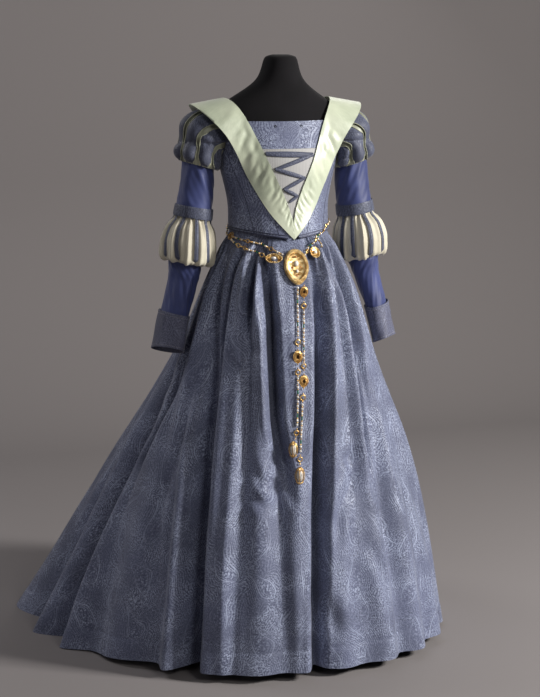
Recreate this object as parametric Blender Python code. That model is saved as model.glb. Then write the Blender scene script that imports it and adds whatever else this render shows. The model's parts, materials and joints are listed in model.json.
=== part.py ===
"""Court dress on a limbless dress form: an early Renaissance gown with a boned bodice, a wide V collar,
paned sleeves, a gathered skirt with a train and a jewelled girdle. Metres, +Z up, the wearer faces -Y."""
import math

import bpy
import numpy as np
from mathutils import Vector
from mathutils.bvhtree import BVHTree

# Driving dimensions
WAIST_Z = 1.150          # where the skirt is sewn to its waistband, above the floor
WAISTBAND = 0.018
FORM_INSET = 0.0030      # the form is this much smaller than the body the bodice is cut for
SEAM_GAP = 0.0004        # between neighbouring pieces along a seam
BODICE_CLEAR = 0.0006    # from the form to the bodice
BODICE_WALL = 0.0018     # brocade with its interlining
COLLAR_WALL = 0.0016
SKIRT_WALL = 0.0018
SLEEVE_WALL = 0.0015
BODICE_OUT = BODICE_CLEAR + BODICE_WALL
COLLAR_LIFT = BODICE_OUT + 0.0022
HEM_FLARE = 0.0062       # how far the boned edge stands off at the waist
POINT_FLARE = 0.016      # and the stiff point more than that
SPRING_Z = 1.116         # below this the skirt springs outwards
SKIRT_CENTRE_Y = -0.012  # the skirt's rings are measured from here
FORM_SIDES = 20
FORM_ROWS = (0.930, 1.010, 1.120, 1.180, 1.240, 1.290, 1.340, 1.410, 1.435, 1.452, 1.467, 1.490, 1.515, 1.564)
ARM_SIDES = 16
POLE_RADIUS = 0.016
FOOT = ((0.202, 0.0), (0.204, 0.003), (0.200, 0.014), (0.020, 0.020))   # the form's round foot: radius, height

# Dress form: height, half width, reach to the front and to the back
BODY = [
    (0.930, 0.158, 0.135, 0.125),
    (1.000, 0.152, 0.136, 0.118),
    (1.060, 0.139, 0.131, 0.096),
    (1.120, 0.128, 0.1285, 0.086),
    (1.150, 0.1285, 0.1285, 0.087),
    (1.180, 0.1325, 0.130, 0.092),
    (1.240, 0.144, 0.1325, 0.101),
    (1.290, 0.1565, 0.134, 0.106),
    (1.340, 0.163, 0.124, 0.107),
    (1.380, 0.168, 0.110, 0.104),
    (1.410, 0.1715, 0.1015, 0.097),
    (1.435, 0.170, 0.0965, 0.086),
    (1.452, 0.152, 0.094, 0.075),
    (1.467, 0.128, 0.0925, 0.060),
    (1.480, 0.105, 0.0915, 0.045),
    (1.490, 0.088, 0.091, 0.034),
    (1.500, 0.073, 0.090, 0.025),
    (1.515, 0.058, 0.0895, 0.015),
    (1.530, 0.051, 0.089, 0.010),
    (1.550, 0.0485, 0.0885, 0.008),
    (1.564, 0.048, 0.088, 0.008),
]

# Bodice hem: degrees from centre front, height of the edge
BODICE_HEM = [(0, 1.100), (8, 1.1035), (25, 1.109), (50, 1.114), (90, 1.119), (180, 1.121)]

STOMACHER_Z = (1.133, 1.333)   # the linen insert's point, and its top edge under the neckline panel
SPLIT_ROOM = 0.006             # no point of the seam is nearer than this to the top edge
SEAM_UNDER_COLLAR = 0.35       # where the seam runs, across the collar from its inner edge

# Collar stations: side of the body, inner edge x and z, outer edge x, y and z (y None: on the body)
COLLAR = [
    ("front", 0.0000, 1.146, 0.0000, None, 1.0985),
    ("front", 0.0120, 1.190, 0.0430, None, 1.153),
    ("front", 0.0300, 1.235, 0.0700, None, 1.192),
    ("front", 0.0460, 1.270, 0.0930, None, 1.234),
    ("front", 0.0610, 1.303, 0.1130, None, 1.272),
    ("front", 0.0740, 1.336, 0.1300, -0.098, 1.306),
    ("front", 0.0870, 1.366, 0.1480, -0.098, 1.340),
    ("front", 0.1000, 1.396, 0.1680, -0.096, 1.373),
    ("front", 0.1150, 1.428, 0.1960, -0.082, 1.404),
    ("front", 0.1330, 1.453, 0.2240, -0.050, 1.434),
    ("top", 0.1440, 1.470, 0.2400, 0.000, 1.450),
    ("back", 0.1330, 1.452, 0.2240, 0.050, 1.436),
    ("back", 0.1130, 1.428, 0.1940, 0.085, 1.408),
    ("back", 0.0890, 1.400, 0.1500, 0.104, 1.366),
    ("back", 0.0600, 1.369, 0.1060, None, 1.323),
    ("back", 0.0300, 1.341, 0.0570, None, 1.283),
    ("back", 0.0000, 1.318, 0.0000, None, 1.250),
]

# Lacing over the stomacher, from turn to turn: x, z, width of the lace that starts there
LACES = [
    (-0.0640, 1.3210, 0.0150),
    (0.0590, 1.3165, 0.0110),
    (-0.0425, 1.2815, 0.0115),
    (0.0345, 1.2575, 0.0105),
    (-0.0210, 1.2290, 0.0100),
    (0.0150, 1.2110, 0.0085),
    (-0.0075, 1.1960, 0.0085),
]

# Armhole: centre y and z, half depth and half height
ARMHOLE = (0.002, 1.368, 0.057, 0.068)

# Shoulder puff of the wearer's left: under the arm x and z, outer side x and z, centre y, half depth
SHOULDER_PUFF = [
    (0.1625, 1.2925, 0.2050, 1.4340, 0.002, 0.0690),
    (0.1630, 1.2885, 0.2380, 1.4180, 0.002, 0.0725),
    (0.1620, 1.2850, 0.2570, 1.3920, 0.002, 0.0680),
    (0.1610, 1.2810, 0.2610, 1.3570, 0.003, 0.0650),
    (0.1600, 1.2760, 0.2680, 1.3260, 0.004, 0.0675),
    (0.1625, 1.2715, 0.2630, 1.3000, 0.005, 0.0590),
]
# Arm rings of the wearer's left: x, y, z, tilt and turn in degrees, half size outwards and front to back
UPPER_SLEEVE = [
    (0.2130, 0.005, 1.3100, -76, 0, 0.0421, 0.0476),
    (0.2165, 0.005, 1.2450, -80, 0, 0.0451, 0.0496),
    (0.2250, 0.005, 1.1745, -80, -8, 0.0478, 0.0518),
]
ELBOW_BAND = [
    (0.2245, 0.005, 1.1790, -80, -8, 0.0500, 0.0540),
    (0.2290, 0.005, 1.1495, -80, -10, 0.0515, 0.0555),
]
ELBOW_PUFF = [
    (0.2270, 0.005, 1.1590, -80, -10, 0.0425, 0.0465),
    (0.2300, 0.005, 1.1440, -80, -12, 0.0450, 0.0490),
    (0.2370, 0.005, 1.1150, -80, -13, 0.0600, 0.0650),
    (0.2430, 0.005, 1.0760, -80, -15, 0.0665, 0.0735),
    (0.2465, 0.004, 1.0480, -80, -18, 0.0655, 0.0725),
    (0.2500, 0.003, 1.0320, -80, -20, 0.0450, 0.0530),
]
ELBOW_SWELL = (0.0, 0.0, 0.9, 1.0, 0.7, 0.0)
LOWER_SLEEVE = [
    (0.2498, 0.003, 1.0332, -80, -20, 0.0434, 0.0514),
    (0.2540, 0.002, 1.0120, -79, -21, 0.0390, 0.0485),
    (0.2585, 0.001, 0.9900, -78, -22, 0.0350, 0.0470),
    (0.2730, -0.006, 0.9400, -77, -26, 0.0310, 0.0450),
    (0.2870, -0.012, 0.8920, -77, -30, 0.0290, 0.0445),
]
CUFF = [
    (0.2855, -0.012, 0.9010, -77, -30, 0.0335, 0.0490),
    (0.2970, -0.015, 0.8500, -78, -30, 0.0320, 0.0520),
    (0.3070, -0.018, 0.8030, -78, -30, 0.0310, 0.0550),
]
CUFF_POINT = 0.012       # how much lower the cuff's outer point hangs
SHOULDER_PANES = 8
ELBOW_PANES = 10
PANE_SHARE = 0.74        # of each pane's room that is cloth, the rest is the slash beside it
PANE_SWELL = 0.0040      # how far a pane's middle stands out
PUFF_SWELL = 0.0065      # and the ivory cloth between the strips
STRIP_LIFT = 0.0040      # from the elbow puff's rings to the strips over it
LINING_INSET = 0.0050    # the shoulder lining lies this far inside the panes
HEAD_INSET = -0.0040     # its head, and that of the panes, against the armhole line
PANE_HEAD_OUTSET = 0.0015

# Skirt: height, then the reach in each direction of SKIRT_DIRECTIONS (degrees, -90 is the front)
SKIRT_DIRECTIONS = (-90, -54, -18, 30, 75, 120, 162, 200, 235)
SKIRT = [
    (1.050, 0.163, 0.166, 0.166, 0.154, 0.128, 0.135, 0.156, 0.162, 0.166),
    (1.000, 0.181, 0.190, 0.194, 0.180, 0.160, 0.168, 0.184, 0.190, 0.190),
    (0.900, 0.212, 0.225, 0.232, 0.222, 0.215, 0.230, 0.228, 0.226, 0.226),
    (0.750, 0.253, 0.268, 0.276, 0.280, 0.300, 0.325, 0.290, 0.272, 0.268),
    (0.600, 0.292, 0.310, 0.328, 0.350, 0.390, 0.430, 0.375, 0.335, 0.312),
    (0.450, 0.336, 0.358, 0.386, 0.410, 0.480, 0.540, 0.460, 0.400, 0.364),
    (0.300, 0.374, 0.396, 0.414, 0.465, 0.575, 0.650, 0.528, 0.445, 0.408),
    (0.150, 0.402, 0.424, 0.437, 0.510, 0.680, 0.770, 0.592, 0.478, 0.440),
    (0.000, 0.424, 0.448, 0.462, 0.560, 0.800, 0.905, 0.668, 0.505, 0.464),
]
# Fold valleys: direction at the waist and at the hem, depth at mid height and at the hem, gathers at the top
FOLDS = [
    (-176, -177, 0.028, 0.036, 1.0),
    (-163, -151, 0.020, 0.030, 1.0),
    (-148, -137, 0.050, 0.056, 1.0),
    (-127, -121, 0.022, 0.008, 1.0),
    (-114, -106, 0.034, 0.012, 0.0),
    (-74, -93, 0.042, 0.036, 0.7),
    (-59, -74, 0.012, 0.016, 1.0),
    (-43, -57, 0.036, 0.034, 1.0),
    (-26, -40, 0.018, 0.024, 1.0),
    (-9, -23, 0.026, 0.030, 1.0),
    (11, -2, 0.026, 0.036, 1.0),
    (33, 22, 0.030, 0.044, 1.0),
    (55, 46, 0.036, 0.056, 1.0),
    (77, 70, 0.040, 0.070, 1.0),
    (99, 94, 0.042, 0.074, 1.0),
    (121, 116, 0.042, 0.074, 1.0),
    (142, 136, 0.038, 0.060, 1.0),
    (160, 156, 0.032, 0.050, 1.0),
    (174, 171, 0.026, 0.046, 1.0),
]
FOLD_COLUMNS = 8
SKIRT_ROWS = (1.150, 1.116, 1.068, 0.960, 0.770, 0.520, 0.255, 0.0)
SKIRT_PANELS = {"skirt_front": (4, 6), "skirt_front_left": (6, 8), "skirt_side_left": (8, 10),
                "skirt_back_side_left": (10, 12), "skirt_back_left": (12, 14), "skirt_back_right": (14, 16),
                "skirt_back_side_right": (16, 18), "skirt_side_right": (18, 21), "skirt_front_right": (21, 23)}
FOLDS_START_Z = 1.133    # above this the skirt lies flat
SKIRT_LIFT = 0.0032      # from the body to the skirt at the waist
HEM_LIFT = 0.024         # the front hem hangs clear of the floor, the train lies on it
GATHER = 0.0055          # depth of the cartridge gathers under the bodice

# Girdle chains: direction in degrees from the skirt's centre, height
CHAIN_CLEAR = 0.0005
CHAIN_HALF = 0.0026
CHAIN_STEP = 0.019       # between the stations of a chain
CHAINS = {
    "girdle_chain_back": [(-62.5, 1.078), (-56, 1.093), (-50, 1.106), (-44, 1.120), (-36, 1.129), (-20, 1.134),
                          (30, 1.134), (90, 1.130), (140, 1.128), (165, 1.118), (178, 1.105), (186, 1.103)],
    "girdle_chain_upper": [(-155, 1.1005), (-151, 1.098), (-130.7, 1.0905), (-115, 1.079), (-104, 1.069)],
    "girdle_chain_lower": [(-158, 1.0925), (-145, 1.0800), (-131, 1.0710), (-123, 1.0660)],
}
# Girdle jewels: direction, height, half width, half height, thickness, how much narrower the foot is
JEWELS = {
    "girdle_clasp": (-91.5, 1.0300, 0.0325, 0.0470, 0.011, 0.22),
    "girdle_plaque_front": (-111.0, 1.0530, 0.0230, 0.0135, 0.006, 0.0),
    "girdle_plaque_side": (-70.5, 1.0640, 0.0160, 0.0165, 0.006, 0.0),
    "girdle_plaque_hip": (-166.5, 1.1020, 0.0120, 0.0120, 0.005, 0.0),
}
# Hanging strands: the line that each follows as height and x, then its profile from the top down as
# height in metres, half width and half thickness in millimetres
STRAND_RIGHT_X = [(0.984, -0.0069), (0.949, -0.0108), (0.899, -0.0154), (0.847, -0.0203), (0.770, -0.0275),
                 (0.700, -0.0337), (0.621, -0.0430), (0.600, -0.0490), (0.582, -0.0555), (0.550, -0.0585)]
STRAND_LEFT_X = [(0.984, 0.0105), (0.973, 0.0100), (0.933, 0.0056), (0.873, -0.0005), (0.801, -0.0070),
                  (0.747, -0.0118), (0.705, -0.0190), (0.638, -0.0280), (0.569, -0.0370), (0.554, -0.0397),
                  (0.518, -0.0440), (0.485, -0.0460)]
STRANDS = {
    "girdle_strand_right": (STRAND_RIGHT_X, [
        (0.984, 3.4, 3.4), (0.960, 3.6, 3.6), (0.920, 3.6, 3.6), (0.860, 3.6, 3.6), (0.852, 4, 3.6),
        (0.845, 8, 3.6), (0.838, 4, 3.6), (0.826, 4, 3.6), (0.820, 11, 4.2), (0.809, 13.5, 4.6),
        (0.798, 11, 4.2), (0.791, 4, 3.6),
        (0.776, 4, 3.6), (0.769, 8, 3.6), (0.762, 4, 3.6), (0.700, 3.6, 3.6), (0.636, 3.6, 3.6),
        (0.628, 4, 3.6), (0.621, 7.5, 3.6), (0.613, 4, 3.6), (0.606, 4, 4), (0.597, 11, 9),
        (0.580, 14, 12), (0.565, 11.5, 10), (0.556, 4, 4)]),
    "girdle_strand_left": (STRAND_LEFT_X, [
        (0.982, 5, 3.6), (0.977, 11, 4.2), (0.964, 11.5, 4.2), (0.955, 5, 3.6),
        (0.941, 4, 3.6), (0.933, 8, 3.6), (0.926, 4, 3.6), (0.860, 3.6, 3.6), (0.791, 4, 3.6),
        (0.784, 8, 3.6), (0.777, 4, 3.6), (0.764, 4, 3.6), (0.757, 11, 4.2), (0.747, 13, 4.6),
        (0.736, 11, 4.2), (0.729, 4, 3.6), (0.712, 4, 3.6), (0.705, 8, 3.6), (0.697, 4, 3.6), (0.630, 3.6, 3.6),
        (0.569, 3.6, 3.6), (0.562, 4, 3.6), (0.554, 8, 3.6), (0.547, 4, 4), (0.541, 4, 4),
        (0.532, 12, 10), (0.518, 15, 12), (0.502, 12.5, 10), (0.492, 4, 4)]),
}

PALETTE = {
    "damask": ((0.17, 0.20, 0.33, 1), 0.55),
    "satin": ((0.66, 0.71, 0.58, 1), 0.38),
    "linen": ((0.62, 0.60, 0.60, 1), 0.80),
    "silk": ((0.065, 0.085, 0.25, 1), 0.45),
    "cream": ((0.62, 0.58, 0.48, 1), 0.70),
    "jersey": ((0.012, 0.011, 0.014, 1), 0.90),
    "gilt": ((0.80, 0.55, 0.22, 1), 0.30),
    "steel": ((0.06, 0.06, 0.07, 1), 0.45),
}


def smooth(rows, column, at):
    """Value of a table's column at a height, through a shape-keeping cubic."""
    xs = np.array([r[0] for r in rows], float)
    ys = np.array([r[column] for r in rows], float)
    if xs[0] > xs[-1]:
        xs, ys = xs[::-1], ys[::-1]
    at = min(max(at, xs[0]), xs[-1])
    step = np.diff(xs)
    slope = np.diff(ys) / step
    tangent = np.zeros(len(xs))
    tangent[0], tangent[-1] = slope[0], slope[-1]
    for i in range(1, len(xs) - 1):
        if slope[i - 1] * slope[i] > 0:
            tangent[i] = 2 * slope[i - 1] * slope[i] / (slope[i - 1] + slope[i])
    i = min(int(np.searchsorted(xs, at, side="right")) - 1, len(xs) - 2)
    t = (at - xs[i]) / step[i]
    return float((2 * t**3 - 3 * t**2 + 1) * ys[i] + (t**3 - 2 * t**2 + t) * step[i] * tangent[i]
                 + (3 * t**2 - 2 * t**3) * ys[i + 1] + (t**3 - t**2) * step[i] * tangent[i + 1])


def ease(t):
    t = min(max(t, 0.0), 1.0)
    return t * t * (3 - 2 * t)


def body_point(angle, z):
    """A point of the form's surface."""
    width, front, back = (smooth(BODY, c, z) for c in (1, 2, 3))
    middle, half = (back - front) / 2, (back + front) / 2
    return Vector((width * math.cos(angle), middle + half * math.sin(angle), z))


def form_point(angle, z):
    """The same point on the form itself, which is a little smaller."""
    point = body_point(angle, z)
    flat = Vector((point.x, point.y, 0))
    down = Vector((0, 0, FORM_INSET if 1.40 < z < 1.485 else 0))
    return point - flat.normalized() * FORM_INSET - down


def mesh_object(name, points, faces, material):
    mesh = bpy.data.meshes.new(name)
    mesh.from_pydata([tuple(p) for p in points], [], faces)
    mesh.validate()
    mesh.update()
    solid = bpy.data.objects.new(name, mesh)
    bpy.context.scene.collection.objects.link(solid)
    mesh.materials.append(MATERIALS[material])
    mesh.shade_smooth()
    mesh.set_sharp_from_angle(angle=math.radians(40))
    return solid


def outward(points, faces):
    """The faces, turned so that the closed shape has its outside out."""
    volume = 0.0
    for face in faces:
        for k in range(1, len(face) - 1):
            a, b, c = (Vector(points[face[i]]) for i in (0, k, k + 1))
            volume += a.dot(b.cross(c))
    return faces if volume > 0 else [tuple(reversed(f)) for f in faces]


def grid_normals(grid, closed):
    """Unit normals of a grid of points, rows by columns."""
    if closed:
        across = np.roll(grid, -1, axis=1) - np.roll(grid, 1, axis=1)
    else:
        across = np.empty_like(grid)
        across[:, 1:-1] = grid[:, 2:] - grid[:, :-2]
        across[:, 0] = grid[:, 1] - grid[:, 0]
        across[:, -1] = grid[:, -1] - grid[:, -2]
    along = np.empty_like(grid)
    along[1:-1] = grid[2:] - grid[:-2]
    along[0] = grid[1] - grid[0]
    along[-1] = grid[-1] - grid[-2]
    normals = np.cross(across, along)
    return normals / np.maximum(np.linalg.norm(normals, axis=2, keepdims=True), 1e-12)


def wall(name, outer, inner, material, closed):
    """A cloth wall between two grids, with its rims closed."""
    rows, columns = outer.shape[:2]
    points = np.concatenate([outer.reshape(-1, 3), inner.reshape(-1, 3)])
    half = rows * columns

    def at(r, c, side):
        return side * half + r * columns + c % columns

    faces = []
    last = columns if closed else columns - 1
    for r in range(rows - 1):
        for c in range(last):
            faces.append((at(r, c, 0), at(r, c + 1, 0), at(r + 1, c + 1, 0), at(r + 1, c, 0)))
            faces.append((at(r, c, 1), at(r + 1, c, 1), at(r + 1, c + 1, 1), at(r, c + 1, 1)))
    for c in range(last):
        faces.append((at(0, c, 0), at(0, c, 1), at(0, c + 1, 1), at(0, c + 1, 0)))
        faces.append((at(rows - 1, c, 0), at(rows - 1, c + 1, 0), at(rows - 1, c + 1, 1), at(rows - 1, c, 1)))
    if not closed:
        end = columns - 1
        for r in range(rows - 1):
            faces.append((at(r, 0, 0), at(r + 1, 0, 0), at(r + 1, 0, 1), at(r, 0, 1)))
            faces.append((at(r, end, 0), at(r, end, 1), at(r + 1, end, 1), at(r + 1, end, 0)))
    return mesh_object(name, points, outward(points, faces), material)


class Surface:
    """A fine copy of a smooth surface that other pieces are laid on."""

    def __init__(self, grid, closed=True):
        rows, columns = grid.shape[:2]
        self.points = [Vector(p) for p in grid.reshape(-1, 3)]
        normals = grid_normals(grid, closed)
        if ((grid - grid.reshape(-1, 3).mean(axis=0)) * normals).sum() < 0:
            normals = -normals
        self.normals = [Vector(n) for n in normals.reshape(-1, 3)]
        self.faces = []
        for r in range(rows - 1):
            for c in range(columns if closed else columns - 1):
                a, b = r * columns + c, r * columns + (c + 1) % columns
                self.faces += [(a, b, b + columns), (a, b + columns, a + columns)]
        self.tree = BVHTree.FromPolygons(self.points, self.faces)

    def normal_at(self, point, face):
        corners = [self.points[i] for i in self.faces[face]]
        weights = [(corners[(k + 1) % 3] - point).cross(corners[(k + 2) % 3] - point).length for k in range(3)]
        total = sum((self.normals[i] * w for i, w in zip(self.faces[face], weights)), Vector())
        return total.normalized()

    def ray(self, start, toward):
        """Where a ray first meets the surface, and the normal there."""
        hit = self.tree.ray_cast(Vector(start), Vector(toward).normalized())
        if hit[0] is None:
            raise ValueError(f"no surface from {start} toward {toward}")
        return hit[0], self.normal_at(hit[0], hit[2])

    def pushed_out(self, point, clearance):
        """The point, or the nearest place that is this far outside the surface."""
        near, _, face, _ = self.tree.find_nearest(Vector(point))
        normal = self.normal_at(near, face)
        if (Vector(point) - near).dot(normal) < clearance:
            return near + normal * clearance
        return Vector(point)

    def around(self, angle, z, lift, centre_y=0.0):
        """The point at a direction from the axis and a height, moved out by lift."""
        direction = Vector((math.cos(angle), math.sin(angle), 0))
        hit, normal = self.ray(Vector((0, centre_y, z)) + direction, -direction)
        return hit + normal * lift

    def facing(self, side, x, z, lift):
        """The point straight in front of or behind (x, z), moved out by lift."""
        sign = {"front": -1.0, "back": 1.0}[side]
        hit, normal = self.ray((x, sign, z), (0, -sign, 0))
        return hit + normal * lift


def bodice_hem(angle):
    """Height of the bodice's lower edge in a direction."""
    off_front = abs((math.degrees(angle) + 270) % 360 - 180)
    return smooth(BODICE_HEM, 1, off_front)


def bodice_flare(angle, z):
    """How far the boned bodice stands off the body at its edge and towards its point."""
    front = max(0.0, -math.sin(angle)) ** 4
    edge = HEM_FLARE * ease((bodice_hem(angle) + 0.075 - z) / 0.060)
    return edge + POINT_FLARE * front * ease((1.25 - z) / 0.15)


def armhole(turn):
    """A point of the form on the armhole line of the wearer's left, turn 0 at the top."""
    y0, z0, half_y, half_z = ARMHOLE
    y = y0 + half_y * math.sin(turn)
    z = z0 + half_z * math.cos(turn)
    return FORM_SKIN.ray((1, y, z), (-1, 0, 0))


def resampled(points, count):
    """Points evenly spaced along a polyline in the plane of direction and height."""
    points = np.array(points, float)
    steps = np.linalg.norm(np.diff(points, axis=0) * (0.15, 1.0), axis=1)
    places = np.concatenate([[0], np.cumsum(steps)])
    wanted = np.linspace(0, places[-1], count)
    return np.stack([np.interp(wanted, places, points[:, k]) for k in (0, 1)], axis=1)


def patch(bottom, top, left, right, columns):
    """Directions and heights filling four edges, as a Coons patch; left and right give the rows."""
    bottom, top = resampled(bottom, columns), resampled(top, columns)
    left, right = np.array(left), np.array(right)
    rows = len(left)
    s = np.linspace(0, 1, columns)[None, :, None]
    t = np.linspace(0, 1, rows)[:, None, None]
    ruled = (1 - t) * bottom[None] + t * top[None] + (1 - s) * left[:, None] + s * right[:, None]
    corners = ((1 - s) * (1 - t) * bottom[0] + s * (1 - t) * bottom[-1]
               + (1 - s) * t * top[0] + s * t * top[-1])
    return ruled - corners


def laid_on_form(cells, mirrored):
    """The bodice's inner and outer faces over a patch of directions and heights."""
    rows, columns = cells.shape[:2]
    faces = []
    for lift in (BODICE_CLEAR, BODICE_OUT):
        grid = np.empty((rows, columns, 3))
        for r in range(rows):
            for c in range(columns):
                angle, z = cells[r, c]
                grid[r, c] = FORM_SKIN.around(angle, z, lift + bodice_flare(angle, z))
        if mirrored:
            grid = grid * (-1, 1, 1)
        faces.append(grid)
    return faces


def polar(point):
    return math.atan2(point[1], point[0]), point[2]


def front_line(x, z):
    return polar(FORM_SKIN.facing("front", x, z, 0))


def back_line(x, z):
    return polar(FORM_SKIN.facing("back", x, z, 0))


def shrunk(cells, gap):
    """The patch with its side edges drawn in by half a seam gap."""
    cells = cells.copy()
    for r in range(len(cells)):
        z = cells[r, 0, 1]
        radius = smooth(BODY, 1, z)
        cells[r, 0, 0] += gap / 2 / radius
        cells[r, -1, 0] -= gap / 2 / radius
    return cells


def collar_seam(x_shift):
    """The line under the collar where the stomacher meets the side front, from the point up."""
    line = []
    for _, inner_x, inner_z, outer_x, _, outer_z in COLLAR[1:8]:
        x = inner_x + x_shift * (outer_x - inner_x)
        z = inner_z + x_shift * (outer_z - inner_z)
        line.append((x, z))
    return line


def bodice():
    """Stomacher, neckline panel, and on each side a side front, a side and a back."""
    seam = collar_seam(SEAM_UNDER_COLLAR)
    foot = (0.012, bodice_hem(math.radians(-84)))
    tip_z, split_z = STOMACHER_Z
    front_edge = [front_line(*foot), front_line(0.010, tip_z)] + [front_line(x, z) for x, z in seam]
    crown = [front_line(0.120, 1.424), polar(body_point(math.radians(-24), 1.4540))]

    # Stomacher and neckline panel span both sides of centre front
    low = [(x, z) for x, z in seam if z < split_z - SPLIT_ROOM]
    split_x = float(np.interp(split_z, [z for _, z in seam], [x for x, _ in seam]))
    high = [(x, z) for x, z in seam if z > split_z + SPLIT_ROOM]
    for name, material, line, count in (
        ("stomacher", "linen", [(0.0075, tip_z + 0.004)] + low + [(split_x, split_z - SEAM_GAP)], 9),
        ("neckline_panel", "damask", [(split_x, split_z)] + high[:-1] + [(0.1085, 1.4035)], 5),
    ):
        line = [(x - 1.5 * SEAM_GAP, z) for x, z in line]
        right = [front_line(x, z) for x, z in line]
        left = [front_line(-x, z) for x, z in line]
        bottom = [left[0], front_line(0, line[0][1]), right[0]]
        top = [left[-1], front_line(0, line[-1][1] - (0.001 if name == "neckline_panel" else 0)), right[-1]]
        cells = patch(bottom, top, resampled(left, count), resampled(right, count), 9)
        inner, outer = laid_on_form(cells, False)
        wall(name, outer, inner, material, False)

    # Princess seam, side back seam and centre back, each sampled once for both of its panels
    hole = [polar(armhole(math.radians(t))[0]) for t in range(0, 361, 15)]
    shoulder_tip = hole[0]
    princess = resampled([front_line(0.068, bodice_hem(math.radians(-62))), front_line(0.076, 1.180),
                          front_line(0.104, 1.255), front_line(0.1330, 1.3090), hole[16]], 8)
    side_back = resampled([(math.radians(38), bodice_hem(math.radians(38))), (math.radians(36), 1.200),
                           hole[8]], 8)
    for side, mirrored in (("left", False), ("right", True)):
        # Side front: stomacher seam to princess seam and armhole
        outside = np.concatenate([princess, resampled(hole[16:25], 6)[1:]])
        inside = resampled(front_edge + crown, len(outside))
        bottom = [front_edge[0], front_line(0.040, bodice_hem(math.radians(-73))), princess[0]]
        cells = shrunk(patch(bottom, [crown[1], shoulder_tip], inside, outside, 6), SEAM_GAP)
        inner, outer = laid_on_form(cells, mirrored)
        wall(f"bodice_front_{side}", outer, inner, "damask", False)
        # Side: under the armhole
        bottom = [princess[0], (math.radians(-25), bodice_hem(math.radians(-25))),
                  (math.radians(8), bodice_hem(math.radians(8))), side_back[0]]
        cells = shrunk(patch(bottom, hole[8:17][::-1], princess, side_back, 9), SEAM_GAP)
        inner, outer = laid_on_form(cells, mirrored)
        wall(f"bodice_side_{side}", outer, inner, "damask", False)
        # Back: to the hooked centre back, with the strap up to the shoulder seam
        centre = [(math.radians(90) - 0.0030, bodice_hem(math.radians(90))), (math.radians(90) - 0.0030, 1.296)]
        neck = [back_line(0.030, 1.322), back_line(0.062, 1.352), back_line(0.098, 1.390),
                back_line(0.122, 1.420), polar(body_point(math.radians(24), 1.4540))]
        outside = np.concatenate([side_back, resampled(hole[0:9][::-1], 6)[1:]])
        inside = resampled(centre + neck, len(outside))
        bottom = [side_back[0], (math.radians(64), bodice_hem(math.radians(64))), centre[0]]
        cells = shrunk(patch(bottom, [shoulder_tip, neck[-1]], outside, inside, 7), SEAM_GAP)
        inner, outer = laid_on_form(cells, mirrored)
        wall(f"bodice_back_{side}", outer, inner, "damask", False)


def over_bodice(side, x, z, lift):
    """The point straight in front of or behind (x, z), moved out past the bodice by lift."""
    skin = FORM_SKIN.facing(side, x, z, 0)
    return FORM_SKIN.facing(side, x, z, BODICE_OUT + lift + bodice_flare(polar(skin)[0], z))


def collar_station(place):
    """Inner and outer edge of the collar at a place along it, counted in rows of COLLAR."""
    table = [(k, *row[1:]) for k, row in enumerate(COLLAR)]
    side = COLLAR[round(place)][0]
    ix, iz, ox, oz = (smooth(table, c, place) for c in (1, 2, 3, 5))
    lift = COLLAR_LIFT - BODICE_OUT
    if side == "top":
        skin, normal = FORM_SKIN.ray((ix, 0, 2), (0, 0, -1))
        inner = skin + normal * (COLLAR_LIFT + 0.004)
    else:
        inner = over_bodice(side, ix, iz, lift)
    free = [(k, row[4]) for k, row in enumerate(COLLAR) if row[4] is not None]
    if free[0][0] <= place <= free[-1][0]:
        outer = Vector((ox, smooth(free, 1, place), oz))
    else:
        outer = over_bodice(side, ox, oz, lift)
    return inner, outer


def collar():
    """Two satin arms from the point at the waist over the shoulders to the back, mitred at both ends."""
    columns = 4
    mitre = SEAM_GAP / 2
    places = [0, 0.35, 0.7, 1, 1.5] + [k for k in range(2, 13)] + [12.5, 13, 13.5, 14, 14.5, 15, 15.5, 16]
    grid = np.empty((len(places), columns, 3))
    for r, place in enumerate(places):
        inner, outer = collar_station(place)
        for c in range(columns):
            point = inner.lerp(outer, c / (columns - 1))
            clear = COLLAR_LIFT + bodice_flare(polar(point)[0], point.z)
            grid[r, c] = FORM_SKIN.pushed_out(point, clear)
    normals = grid_normals(grid, False)
    if normals[3, 1, 1] > 0:
        normals = -normals
    over = grid + normals * COLLAR_WALL
    for line in (grid, over):
        for r in (0, len(places) - 1):
            line[r, :, 0] = mitre
    for side, flip in (("left", (1, 1, 1)), ("right", (-1, 1, 1))):
        wall(f"collar_{side}", over * flip, grid * flip, "satin", False)


def lacing():
    """One lace zigzagging over the stomacher: flattened tubes made one by a union."""
    pieces = []
    for k in range(len(LACES) - 1):
        (x0, z0, width), (x1, z1, _) = LACES[k:k + 2]
        stations, sides = 6, 4
        grid = np.empty((stations, sides, 3))
        direction = Vector((x1 - x0, 0, z1 - z0)).normalized()
        sideways = Vector((-direction.z, 0, direction.x))
        for r in range(stations):
            t = r / (stations - 1)
            x, z = x0 + (x1 - x0) * t, z0 + (z1 - z0) * t
            half = width * (0.36 + 0.14 * math.sin(math.pi * t))
            for c in range(sides):
                turn = 2 * math.pi * (c + 0.5) / sides
                place = Vector((x, 0, z)) + sideways * (half * math.cos(turn))
                grid[r, c] = over_bodice("front", place.x, place.z, 0.0021 + 0.0022 * math.sin(turn))
        pieces.append(capped(f"lace_{k}", grid, "damask"))
    whole = pieces[0]
    whole.name = "lacing"
    for k, other in enumerate(pieces[1:]):
        other.hide_render = True
        other.display_type = "WIRE"
        union = whole.modifiers.new(f"join_{k}", "BOOLEAN")
        union.operation = "UNION"
        union.object = other


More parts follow.
